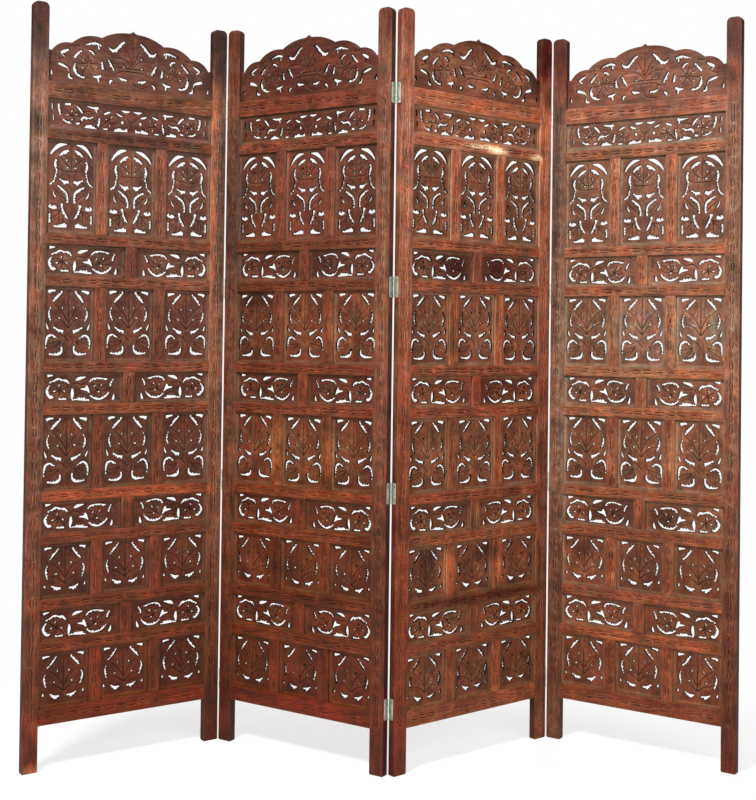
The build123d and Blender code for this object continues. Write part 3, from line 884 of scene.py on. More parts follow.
# What is uneven in sheesham, and how far it runs across and along the grain in mm, with its detail.
UNEVEN = {
    "fibre": (1.6, 22.0, 2),      # fibres, drawn coarse enough to show
    "fleck": (3.2, 7.0, 2),       # wax and dirt in flecks
    "pores": (0.9, 9.0, 1),       # open pores, 9 mm long
    "age": (60.0, 80.0, 2),       # uneven stain over a hand's breadth
    "shine": (4.5, 30.0, 3),      # where painted orange highlights (glints) lie
}


def srgb(code):
    """A hex colour as linear numbers."""
    values = [int(code[n:n + 2], 16) / 255 for n in (1, 3, 5)]
    return tuple(v / 12.92 if v <= 0.04045 else ((v + 0.055) / 1.055) ** 2.4 for v in values)


def add(tree, kind, inputs=(), stops=(), **settings):
    """A new node with its settings, its inputs set or linked to sockets, and a ramp's colour stops."""
    node = tree.nodes.new(kind)
    for name, value in settings.items():
        setattr(node, name, value)
    for key, value in dict(inputs).items():
        if isinstance(value, bpy.types.NodeSocket):
            tree.links.new(value, node.inputs[key])
        else:
            node.inputs[key].default_value = value
    if stops:
        elements = node.color_ramp.elements
        while len(elements) < len(stops):
            elements.new(0.5)
        for element, (position, colour) in zip(elements, stops):
            element.position = position
            element.color = (*colour, 1)
    return node


def new_material(name):
    """An empty material with its tree and shader."""
    material = bpy.data.materials.new(name)
    material.use_nodes = True
    tree = material.node_tree
    return material, tree, tree.nodes["Principled BSDF"]


def stained_sheesham(name, stains, glint, gloss, streak_mm, spread):
    """Sheesham, hand-planed, stained and rubbed with wax: brown heart streaks under a soft sheen."""
    material, tree, shader = new_material(name)
    dark, middle, light = (srgb(code) for code in stains)
    grain = add(tree, "ShaderNodeAttribute", attribute_name="grain").outputs["Vector"]
    tone = add(tree, "ShaderNodeAttribute", attribute_name="tone").outputs["Color"]
    finish = add(tree, "ShaderNodeAttribute", attribute_name="finish").outputs["Color"]
    dirt_and_shade, wear_and_highlight, bare = add(tree, "ShaderNodeSeparateColor", {"Color": finish}).outputs[:3]

    uneven = {}
    streaks = {"heart": (streak_mm, streak_mm * 11, 4)}     # streaks of dark heartwood
    for kind, (across_mm, along_mm, detail) in {**streaks, **UNEVEN}.items():
        scale = (1 / (across_mm * MM), 1 / (across_mm * MM), 1 / (along_mm * MM))
        along = add(tree, "ShaderNodeMapping", {"Vector": grain, "Scale": scale}).outputs[0]
        inputs = {"Vector": along, "Scale": 1.0, "Detail": detail, "Roughness": 0.55}
        uneven[kind] = add(tree, "ShaderNodeTexNoise", inputs).outputs[0]

    figure = 0.0
    for kind, share in (("heart", 0.46), ("fibre", 0.18), ("fleck", 0.36)):
        inputs = {0: uneven[kind], 1: share, 2: figure}
        figure = add(tree, "ShaderNodeMath", inputs, operation="MULTIPLY_ADD").outputs[0]
    ramps = {}
    for kind, source, stops in (
        ("wood", figure, ((0.5 - spread, dark), (0.5, middle), (0.5 + spread, light))),
        ("glints", uneven["shine"], ((0.55, BLACK), (0.82, WHITE))),
        ("redder", uneven["age"], ((0.35, (0.64, 0.58, 0.58)), (0.65, (1.20, 1.10, 1.02)))),
        ("pores", uneven["pores"], ((0.30, (0.45, 0.40, 0.40)), (0.42, WHITE))),
        ("dusty", uneven["fleck"], ((0.35, (0.35, 0.35, 0.35)), (0.6, WHITE))),
    ):
        ramps[kind] = add(tree, "ShaderNodeValToRGB", {"Fac": source}, stops).outputs["Color"]
    dusty = add(tree, "ShaderNodeMix", {0: 1.0, 6: bare, 7: ramps["dusty"]},
                data_type="RGBA", blend_type="MULTIPLY").outputs[2]
    pale_wear_and_highlight = add(tree, "ShaderNodeMath", {0: wear_and_highlight, 1: uneven["fibre"]}, operation="MULTIPLY").outputs[0]

    colour = ramps["wood"]
    for kind, share, layer in (
        ("MIX", ramps["glints"], (*srgb(glint), 1)),    # painted orange highlights (glints)
        ("MULTIPLY", 1.0, ramps["redder"]),
        ("MULTIPLY", 0.6, ramps["pores"]),
        ("MIX", dusty, (*srgb("#a98669"), 1)),          # dust on wood that the stain never reached
        ("MIX", pale_wear_and_highlight, (*srgb("#cc9471"), 1)),         # edges rubbed through to pale wood, and painted highlights
        # the tone: each piece's stain with its leaf's painted light
        ("MULTIPLY", 1.0, tone),
        ("MIX", dirt_and_shade, (*srgb("#170b07"), 1)),           # old wax and dirt in the cuts, and painted shade
    ):
        mixed = add(tree, "ShaderNodeMix", {0: share, 6: colour, 7: layer},
                    data_type="RGBA", blend_type=kind)
        colour = mixed.outputs[2]
    tree.links.new(colour, shader.inputs["Base Color"])

    # The dark heart is hard and takes the better shine; dirt and painted shade are dull; pores and fibres
    # lie open.
    shine = {0: uneven["heart"], 1: 0.3, 2: 0.7, 3: gloss, 4: gloss + 0.16}
    rough = add(tree, "ShaderNodeMapRange", shine).outputs[0]
    rough = add(tree, "ShaderNodeMath", {0: dirt_and_shade, 1: 0.3, 2: rough}, operation="MULTIPLY_ADD").outputs[0]
    tree.links.new(rough, shader.inputs["Roughness"])
    height = add(tree, "ShaderNodeMath", {0: uneven["pores"], 1: 1.4, 2: uneven["fibre"]},
                 operation="MULTIPLY_ADD").outputs[0]
    bump = add(tree, "ShaderNodeBump", {"Height": height, "Strength": 0.55, "Distance": 0.25 * MM})
    tree.links.new(bump.outputs[0], shader.inputs["Normal"])
    shader.inputs["Specular IOR Level"].default_value = 0.2
    return material


def zinc_steel(name, code, rough):
    """Zinc-plated pressed steel: a grey metal with a dull, slightly blotchy shine."""
    material, tree, shader = new_material(name)
    colour = srgb(code)
    place = add(tree, "ShaderNodeTexCoord").outputs["Object"]
    spangle = add(tree, "ShaderNodeTexNoise", {"Vector": place, "Scale": 1 / (9.0 * MM), "Detail": 1.0})
    blotch = spangle.outputs["Fac"]
    darker = tuple(v * 0.75 for v in colour)
    finish = add(tree, "ShaderNodeAttribute", attribute_name="finish").outputs["Color"]
    dirt_and_shade = add(tree, "ShaderNodeSeparateColor", {"Color": finish}).outputs[0]
    plated = add(tree, "ShaderNodeValToRGB", {"Fac": blotch}, ((0.3, darker), (0.7, colour)))
    # Painted shade darkens the plates towards their knuckles.
    with_painted_shade = add(tree, "ShaderNodeMix", {0: dirt_and_shade, 6: plated.outputs["Color"], 7: (*srgb("#2b2e26"), 1)},
                data_type="RGBA", blend_type="MIX")
    tree.links.new(with_painted_shade.outputs[2], shader.inputs["Base Color"])
    shade = add(tree, "ShaderNodeMapRange", {0: blotch, 1: 0.3, 2: 0.7, 3: rough + 0.12, 4: rough - 0.06})
    tree.links.new(shade.outputs[0], shader.inputs["Roughness"])
    bump = add(tree, "ShaderNodeBump", {"Height": blotch, "Strength": 0.2, "Distance": 0.03 * MM})
    tree.links.new(bump.outputs[0], shader.inputs["Normal"])
    shader.inputs["Metallic"].default_value = 0.6
    return material


# A wood is its dark, middle and light stain, its glint, its gloss, how wide its streaks are in mm,
# and how near the stains lie to each other. Stiles: brown posts with a quiet wax sheen.
STILE_WOOD = stained_sheesham(
    "stile_sheesham_waxed", ("#4a2118", "#7f4531", "#a86a4e"), "#b36a45", 0.42, 6.0, 0.16)
# Rails: redder bands with bright orange glints, which set the rows apart.
RAIL_WOOD = stained_sheesham(
    "rail_sheesham_red_waxed", ("#4e2015", "#87462d", "#b06c48"), "#dd7a38", 0.42, 4.5, 0.18)
# Muntins: short uprights of a warm brown, a little duller than the rails.
MUNTIN_WOOD = stained_sheesham(
    "muntin_sheesham_waxed", ("#4d2217", "#8a4a33", "#b8704b"), "#c9733f", 0.44, 5.0, 0.14)
# Boards: the mat, greyer brown of carving that no plane or cloth reaches.
JALI_WOOD = stained_sheesham(
    "jali_sheesham_carved", ("#4c281d", "#764534", "#986048"), "#a5694a", 0.48, 7.0, 0.25)
# Hinge plates and knuckles: pale grey strips with a dull shine in the dark joints.
HINGE_STEEL = zinc_steel("hinge_zinc_plated_steel", "#e8ead9", 0.32)
# Pins, polished by the turning, and knuckles: the brightest steel, a painted highlight on the knuckles.
PIN_STEEL = zinc_steel("pin_bright_steel", "#f4f5f0", 0.22)
# Screws: darker grey heads that stand out from the plates.
SCREW_STEEL = zinc_steel("screw_zinc_plated_steel", "#85867a", 0.36)


# ---------------------------------------------------------------- pieces
def carry(made, body, slot, *nodes):
    """Puts an object in the scene on its body and hides the CAD nodes it stands for; slot is not used."""
    bpy.context.scene.collection.objects.link(made)
    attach(made, body)
    if nodes:
        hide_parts(*nodes)


def piece(name, skins, materials, used, attributes, sharp_angle, carried):
    """One smooth object from skins in metres, the number of each one's material, and attributes."""
    mesh = bpy.data.meshes.new(name)
    firsts = np.cumsum([0] + [len(skin[0]) for skin in skins[:-1]])
    points = np.vstack([skin[0] for skin in skins])
    faces = np.vstack([skin[1] + first for skin, first in zip(skins, firsts)])
    finish = np.vstack([skin[2].reshape(-1, 3) for skin in skins])
    mesh.vertices.add(len(points))
    mesh.vertices.foreach_set("co", points.astype(np.float32).ravel())
    mesh.loops.add(faces.size)
    mesh.loops.foreach_set("vertex_index", faces.astype(np.int32).ravel())
    mesh.polygons.add(len(faces))
    mesh.polygons.foreach_set("loop_start", np.arange(0, faces.size, 3, dtype=np.int32))
    mesh.update(calc_edges=True)
    for material in materials:
        mesh.materials.append(material)
    numbers = np.repeat(used, [len(skin[1]) for skin in skins])
    mesh.polygons.foreach_set("material_index", numbers.astype(np.int32))
    for key, kind, rows in [("finish", "FLOAT_COLOR", finish), *attributes]:
        attribute = mesh.attributes.new(key, kind, "CORNER" if key == "finish" else "POINT")
        field = "vector"
        if kind == "FLOAT_COLOR":
            field = "color"
            rows = np.column_stack([rows, np.ones(len(rows))])
        attribute.data.foreach_set(field, rows.astype(np.float32).ravel())
    mesh.shade_smooth()
    mesh.set_sharp_from_angle(angle=math.radians(sharp_angle))
    carry(bpy.data.objects.new(name, mesh), *carried)


def shifted(skin, x, z, turned=False):
    """A skin moved in the leaf's plane, and turned over its middle line first if asked."""
    points, faces, finish = skin
    points = points.copy()
    if turned:
        points[:, 0] *= -1
        faces, finish = faces[:, ::-1], finish[:, ::-1]
    points[:, 0] += x
    points[:, 2] += z
    return points, faces, finish


def handmade(skin, width, height, rng):
    """The same carving as another day's work: shifted and warped inside its plain edge."""
    points, faces, finish = skin
    flat = points[:, [0, 2]]
    border = np.minimum(width / 2 - np.abs(flat[:, 0]), np.minimum(flat[:, 1], height - flat[:, 1]))
    free = np.clip(border / 9, 0, 1)
    points = points.copy()
    for axis, slip in ((0, SLIP[0]), (2, SLIP[1])):
        points[:, axis] += free * (rng.uniform(-slip, slip) + WARP * waves(flat, 60.0, rng))
    return points, faces, finish


# ---------------------------------------------------------------- the stain on each leaf
# The tint at the foot and the head of each leaf's left stile, right stile and the rest:
# Stain and painted light: the lighter heads and part of how the leaves differ are painted light.
TINTS = {
    1: (((0.51, 0.27, 0.13), (1.05, 1.50, 1.84)), ((0.28, 0.15, 0.06), (1.20, 1.46, 1.56)),
        ((0.40, 0.16, 0.03), (0.70, 0.83, 0.97))),
    2: (((0.34, 0.20, 0.12), (0.66, 0.68, 0.68)), ((0.41, 0.18, 0.07), (0.74, 0.92, 1.04)),
        ((0.43, 0.19, 0.05), (0.54, 0.49, 0.49))),
    3: (((0.55, 0.24, 0.09), (1.66, 1.96, 2.15)), ((0.45, 0.31, 0.19), (1.54, 1.62, 1.58)),
        ((0.62, 0.47, 0.28), (1.15, 1.20, 1.22))),
    4: (((0.50, 0.50, 0.45), (0.68, 1.00, 1.25)), ((0.38, 0.19, 0.09), (1.08, 1.50, 1.68)),
        ((0.68, 0.49, 0.31), (0.94, 1.15, 1.24))),
}
HANDLED = (0.47, 0.59, 0.61)    # how much darker the stile heads are, where hands hold them
TINT_SPREAD = 0.16              # how much the pieces of one leaf differ
LEFT, MIDDLE, RIGHT = STILE_WIDTH / 2, LEAF_WIDTH / 2, LEAF_WIDTH - STILE_WIDTH / 2
# Patches in the finish of each leaf: x and z of the middle, radii, tint, and how bare they are.
PATCHES = {
    1: (
        (RIGHT, 820, 40, 330, (1.2, 1.35, 1.45), 0),
        (RIGHT, LEAF_HEIGHT - 60, 60, 110, (0.2, 0.27, 0.36), 0),
        (LEFT, LEAF_HEIGHT - 60, 60, 110, (0.36, 0.36, 0.4), 0),
        (MIDDLE, rail_middle(9), 240, 15, (0.6, 0.64, 0.7), 0),
        (MIDDLE, rail_middle(0), 240, 30, (1.1, 0.9, 0.5), 0),
        (MIDDLE, RAILS[10][0] - 45, 220, 50, (0.58, 0.43, 0.43), 0),
        (LEFT, 6, 40, 12, (1.9, 2.4, 2.6), 0.5),
        (MIDDLE, rail_middle(6), 240, 15, (1.35, 1.22, 1.18), 0),
        (MIDDLE, RAILS[4][0] + 10, 240, 16, (2, 1.8, 1.35), 0),
        (MIDDLE, row_middle(7), 70, 60, (0.8, 0.72, 0.72), 0),
        (MIDDLE, TOP_RAIL_TOP + 70, 220, 80, (0.86, 0.78, 0.77), 0),
        # x 499 and 476: painted shade down the right stile's outer half, a painted highlight down its inner
        # half.
        (420, 600, 50, 24, (0.65, 0.5, 0.5), 0), (499, 1400, 11, 420, (0.28, 0.42, 0.48), 0),
        (476, 1400, 7, 420, (1.5, 1.25, 1.05), 0), (10, 1500, 10, 300, (0.5, 0.62, 0.7), 0),
        (30, 900, 9, 400, (0.6, 0.75, 0.72), 0),
    ),
    2: (
        (LEFT, 820, 40, 330, (1.12, 1.25, 1.4), 0), (LEFT, 1380, 40, 260, (0.62, 0.82, 1.1), 0),
        (MIDDLE, row_middle(6), 200, 95, (1.35, 1.5, 1.4), 0),
        (MIDDLE, row_middle(4), 200, 95, (1.3, 1.7, 1.5), 0),
        (MIDDLE, rail_middle(8), 240, 15, (0.65, 0.68, 0.75), 0),
        (MIDDLE, rail_middle(4), 240, 15, (1.5, 1.4, 1.15), 0),
        (MIDDLE, rail_middle(2), 240, 15, (0.6, 0.5, 0.44), 0),
        (MIDDLE, rail_middle(0), 240, 30, (1.15, 0.7, 0.15), 0),
        (MIDDLE, RAILS[3][0] - 60, 200, 130, (1.15, 1.25, 1.15), 0),
        (MIDDLE, TOP_RAIL_TOP + 60, 220, 80, (0.58, 0.38, 0.35), 0),
        (MIDDLE, row_middle(9), 240, 38, (0.66, 0.52, 0.5), 0),
        (160, row_middle(4), 26, 55, (1.5, 1.5, 1.4), 0),
        (348, row_middle(4), 26, 55, (1.5, 1.5, 1.4), 0), (RIGHT, 1000, 30, 400, (1.22, 1.32, 1.32), 0),
        (MIDDLE, row_middle(7), 230, 36, (0.82, 0.84, 0.86), 0),
        (300, row_middle(7), 34, 30, (0.5, 0.42, 0.42), 0),
        (95, RAILS[7][0] - 18, 42, 22, (0.55, 0.5, 0.5), 0), (200, 470, 60, 40, (0.65, 0.6, 0.6), 0),
    ),
    3: (
        (LEFT, 820, 40, 330, (0.85, 0.72, 0.68), 0), (RIGHT, 820, 40, 330, (0.78, 0.68, 0.76), 0),
        (MIDDLE, row_middle(5), 220, 45, (0.92, 0.62, 0.62), 0),
        (MIDDLE, row_middle(7), 220, 45, (0.66, 0.56, 0.6), 0),
        (RIGHT, LEAF_HEIGHT - 60, 60, 110, (0.25, 0.08, 0.08), 0),
        (MIDDLE, rail_middle(2), 240, 15, (0.44, 0.28, 0.26), 0),
        (RIGHT, 50, 14, 60, (1.5, 1.9, 2.2), 0.3), (160, row_middle(2), 26, 55, (2.1, 2, 1.9), 0),
        (348, row_middle(2), 26, 55, (2.1, 2, 1.9), 0),
        (MIDDLE, rail_middle(10), 260, 26, (1.3, 1.3, 1.28), 0),
        (MIDDLE, RAILS[4][0] + 10, 240, 16, (0.85, 0.74, 0.69), 0),
        (LEFT, 330, 30, 330, (0.95, 0.72, 0.52), 0),
        (190, row_middle(7), 42, 34, (0.42, 0.26, 0.24), 0),
        (330, row_middle(7), 46, 34, (0.42, 0.26, 0.24), 0), (268, 1521, 62, 7, (2.2, 2.9, 2.9), 0.95),
        (320, 1514, 32, 9, (2.4, 3.2, 3.2), 0.95), (455, 1512, 22, 9, (2.2, 2.9, 2.9), 0.95),
        (160, 1508, 42, 4, (1.3, 1.4, 1.3), 0.5), (300, 500, 50, 24, (0.4, 0.34, 0.34), 0),
        (100, 470, 30, 50, (0.6, 0.5, 0.5), 0),
    ),
    4: (
        (LEFT, LEAF_HEIGHT - 70, 60, 120, (0.8, 0.38, 0.24), 0),
        (RIGHT, LEAF_HEIGHT - 70, 60, 120, (0.68, 0.52, 0.48), 0),
        (LEFT, 820, 40, 330, (1.45, 1.8, 1.95), 0), (RIGHT, 820, 40, 330, (1.28, 1.3, 1.25), 0),
        (300, row_middle(6), 200, 95, (1.1, 1.45, 1.65), 0),
        (MIDDLE, TOP_RAIL_TOP + 60, 220, 80, (0.8, 0.66, 0.68), 0),
        (RIGHT, LEAF_HEIGHT - 70, 60, 120, (0.78, 0.7, 0.68), 0),
        (LEFT, 50, 12, 60, (1.1, 1.2, 1.2), 0.3), (160, row_middle(4), 26, 55, (1.35, 1.45, 1.5), 0),
        (348, row_middle(4), 26, 55, (1.35, 1.45, 1.5), 0),
        (MIDDLE, RAILS[6][0] + 10, 220, 16, (1.5, 1.6, 1.6), 0),
        (440, 1062, 9, 62, (0.95, 1.35, 1.35), 0.3), (170, 600, 55, 26, (0.42, 0.36, 0.36), 0),
        (310, 600, 42, 30, (0.42, 0.36, 0.36), 0), (90, 505, 34, 26, (0.55, 0.48, 0.48), 0),
        (12, 1500, 11, 300, (0.5, 0.66, 0.74), 0), (498, 1300, 8, 300, (0.7, 0.85, 0.9), 0),
    ),
}


def toned(skin, leaf, tint, rng):
    """The skin with its patches, and each point's tint, stain and painted light, from the foot's to the
    head's.
    """
    points, faces, finish = skin
    flat = points[:, [0, 2]]
    level = np.clip(points[:, 2:] / LEAF_HEIGHT, 0, 1)
    tones = tint[0] * (1 - level) + tint[1] * level
    tones *= 1 - np.clip((points[:, 2:] - TOP_RAIL_TOP - CREST_SHOULDER) / 60.0, 0, 1) * HANDLED
    tones *= 1 + 0.22 * waves(flat, 80.0, rng)[:, None]
    tones *= 1 + 0.24 * waves(flat, 55.0, rng)[:, None] * (1.0, 0.1, -0.4)
    finish = finish.copy()
    for x, z, wide, high, colour, bare in PATCHES[leaf]:
        away = ((flat - (x, z)) / (wide, high)) ** 2
        share = np.exp(-(away.sum(1) ** 1.5)) * (1 + 0.5 * waves(flat, 11.0, rng))
        share = np.clip(share, 0, 1)
        tones = tones * (1 + (np.array(colour) - 1) * share[:, None])
        finish[..., 2] = np.maximum(finish[..., 2], bare * share[faces])
    return (points, faces, finish), tones


# ---------------------------------------------------------------- the leaves
VARIANTS = 2                  # how many times each repeated pattern is carved


def build_boards():
    """The variants of every pattern, carved once, and the size of their openings."""
    sizes = {}
    for name, clear, across in ROWS:
        left, right = columns(across)[0]
        sizes[name] = (right - left, clear)
    sizes["crest"] = (OPEN_WIDTH, CREST_RISE)
    made = {}
    for number, (name, (width, height)) in enumerate(sorted(sizes.items())):
        variants = 1 if name in ("frieze", "crest") else VARIANTS
        made[name] = [board(name, width, height, 100 * number + n) for n in range(variants)]
    return made, sizes


class Leaf:
    """One leaf in the making, with its place in the frame and its own run of chance."""

    def __init__(self, number):
        self.number = number
        self.rng = np.random.default_rng(7000 + number)
        self.place = leaf_place(number)
        self.left_tint, self.right_tint, self.tint = np.array(TINTS[number])

    def varied(self, skins):
        """A tint for each of several pieces of wood."""
        tints = []
        for _ in skins:
            shade = 1 + self.rng.uniform(-TINT_SPREAD, TINT_SPREAD)
            tints.append(self.tint * shade * (1 + self.rng.uniform(-0.04, 0.04, 3)))
        return tints

    def finished(self, name, skins, slot, wood, tints, grain_up):
        """Stains the pieces of one node and stands them in the frame."""
        node = f"leaf_{self.number}_{name}"
        placed, tones, grains = [], [], []
        for skin, tint in zip(skins, tints):
            skin, tone = toned(skin, self.number, tint, self.rng)
            along = skin[0] if grain_up else skin[0][:, [2, 1, 0]]
            grains.append(along * MM + self.rng.uniform(-5, 5, 3))     # sawn from anywhere in the tree
            tones.append(tone)
            placed.append(in_frame(skin, self.place))
        attributes = [("grain", "FLOAT_VECTOR", np.vstack(grains)),
                      ("tone", "FLOAT_COLOR", np.vstack(tones))]
        carried = (f"leaf_{self.number}", slot, node)
        piece(f"{node}_finished", placed, [wood], [0] * len(skins), attributes, WOOD_SHARP, carried)

    def build_stiles(self):
        """The two stiles, marked from the leg to the top rail."""
        for name, left, tint, neighbour in (
            ("left_stile", 0.0, self.left_tint, self.number - 1),
            ("right_stile", OPEN_RIGHT, self.right_tint, self.number + 1),
        ):
            middle = left + STILE_WIDTH / 2
            marks = marks_along(LEG_HEIGHT, TOP_RAIL_TOP - 20, middle, True, self.rng,
                                STILE_MARK_PITCH, 0.75)
            outline = stile_outline(left, neighbour in LEAVES)
            sides = stile_sides(left)
            skin = bar(outline, marks, STILE_ARRIS, 0.0, self.rng, STILE_SPACING, sides)
            self.finished(name, [skin], "stile_wood", STILE_WOOD, [tint], True)

    def build_rails(self):
        """All rails, grooved for the boards; the bottom rail only above."""
        rails = []
        for level, (bottom, top) in enumerate(RAILS):
            edge = box_outline((OPEN_LEFT, bottom), (OPEN_RIGHT, top), BAR_STEP)
            marks = marks_along(OPEN_LEFT + 8, OPEN_RIGHT - 8, rail_middle(level), False, self.rng,
                                BAR_MARK_PITCH, 0.55)
            grooved = (1,) if level == 0 else (-1, 1)
            rails.append(bar(edge, marks, ARRIS, 0.0, self.rng, BAR_SPACING, bare_sides, grooved))
        for name, skins in (("bottom_rail", rails[:1]), ("rails", rails[1:-1]), ("top_rail", rails[-1:])):
            self.finished(name, skins, "rail_wood", RAIL_WOOD, self.varied(skins), False)

    def build_muntins(self):
        """The muntins between the boards of each row."""
        muntins = []
        for row, (_, _, across) in enumerate(ROWS):
            bottom, top = RAILS[row][1], RAILS[row + 1][0]
            for _, left in columns(across)[:-1]:
                edge = box_outline((left, bottom), (left + MUNTIN_WIDTH, top), BAR_STEP)
                middle = left + MUNTIN_WIDTH / 2
                marks = marks_along(bottom + 4, top - 4, middle, True, self.rng, BAR_MARK_PITCH, 0.6)
                muntins.append(bar(edge, marks, MUNTIN_ARRIS, MUNTIN_SETBACK, self.rng, BAR_SPACING,
                                   bare_sides))
        self.finished("muntins", muntins, "muntin_wood", MUNTIN_WOOD, self.varied(muntins), True)

    def build_jali(self, boards, sizes):
        """The boards of every pattern; the second oblong of a row is turned over."""
        for name, (width, height) in sizes.items():
            skins = []
            if name == "crest":
                skins.append(shifted(boards[name][0], LEAF_WIDTH / 2, TOP_RAIL_TOP))
            for row, (pattern, _, across) in enumerate(ROWS):
                for at, (left, right) in enumerate(columns(across) if pattern == name else ()):
                    variant = boards[name][self.rng.integers(len(boards[name]))]
                    skin = handmade(variant, width, height, self.rng)
                    turned = name == "oblong" and at == 1
                    skins.append(shifted(skin, (left + right) / 2, RAILS[row][1], turned))
            grain_up = name in ("tall", "medium", "small")
            self.finished(f"{name}_jali", skins, "jali_wood", JALI_WOOD, self.varied(skins), grain_up)


def build_leaves():
    """Every wooden piece of the screen."""
    boards, sizes = build_boards()
    for number in LEAVES:
        leaf = Leaf(number)
        leaf.build_stiles()
        leaf.build_rails()
        leaf.build_muntins()
        leaf.build_jali(boards, sizes)


# ---------------------------------------------------------------- hinges
def lathe(profile):
    """A turned solid about z from (radius, height) points, first and last on the axis."""
    skin = Skin()
    turn = np.linspace(0, math.tau, ROUND, endpoint=False)
    around = np.arange(ROUND)
    rows = []
    for radius, height in profile[1:-1]:
        ring = np.column_stack([radius * np.cos(turn), radius * np.sin(turn), np.full(ROUND, height)])
        rows.append(skin.add(ring, CLEAN) + around)
    low = skin.add((0, 0, profile[0][1]), CLEAN)
    high = skin.add((0, 0, profile[-1][1]), CLEAN)
    ahead = np.roll(around, -1)
    for upper, lower in zip(rows[1:], rows):
        skin.fill(np.stack([lower, lower[ahead], upper[ahead]], 1))
        skin.fill(np.stack([lower, upper[ahead], upper], 1))
    skin.fill(np.stack([np.full(ROUND, low), rows[0][ahead], rows[0]], 1))
    skin.fill(np.stack([np.full(ROUND, high), rows[-1], rows[-1][ahead]], 1))
    return skin.arrays()


def slab_between(outline, low, high, shading=0.0):
    """A plate drawn in y and z, from low to high in x, with painted shade towards its least y."""
    outline = np.array(outline, float)
    points, faces = mesh_plane(outline)
    skin = Skin()
    count = len(points)
    near = (points[:, 0].max() - points[:, 0]) / np.ptp(points[:, 0]) * shading
    for x in (high, low):
        skin.add(np.column_stack([np.full(count, x), points]), near[:, None] * FULL_SHADE)
    skin.fill(faces)
    skin.fill(faces[:, ::-1] + count)
    rim = rim_of(faces)
    skin.wall(rim, rim + count)
    return skin.arrays()


def hinge_skins(side, knuckles):
    """A plate and its knuckles round the hinge's axis, and the number of each one's steel."""
    outer = side * JOINT_GAP / 2
    inner = outer - side * PLATE_THICKNESS
    low, high = min(outer, inner), max(outer, inner)
    start, end = AXIS_OFFSET + PLATE_SETBACK, AXIS_OFFSET + PLATE_WIDTH
    top_corner = quarter_round(end, HINGE_LENGTH, PLATE_CORNER)
    low_corner = np.column_stack([top_corner[:, 0], HINGE_LENGTH - top_corner[:, 1]])[::-1]
    outline = [(start, 0.0), *low_corner, *top_corner, (start, HINGE_LENGTH)]
    skins = [slab_between(outline, low, high, PLATE_SHADE)]
    steels = [0]
    in_side = KNUCKLE_RADIUS - KNUCKLE_BEVEL
    for bottom, top in knuckles:
        skins.append(slab_between([(0, bottom), (start, bottom), (start, top), (0, top)], low, high))
        skins.append(lathe([
            (0, bottom), (in_side, bottom), (KNUCKLE_RADIUS, bottom + KNUCKLE_BEVEL),
            (KNUCKLE_RADIUS, top - KNUCKLE_BEVEL), (in_side, top), (0, top)]))
        steels += [0, 1]
    return skins, steels


def pin_skins():
    """A pin with a low domed head at both ends, and the number of its steel."""
    head = PIN_HEAD_RADIUS
    foot = [(0, -PIN_HEAD_RISE), (head - 0.5, 0.1 - PIN_HEAD_RISE), (head, -0.2), (head, 0.0),
            (PIN_RADIUS, 0.05)]
    return [lathe(foot + [(radius, HINGE_LENGTH - height) for radius, height in foot[::-1]])], [1]


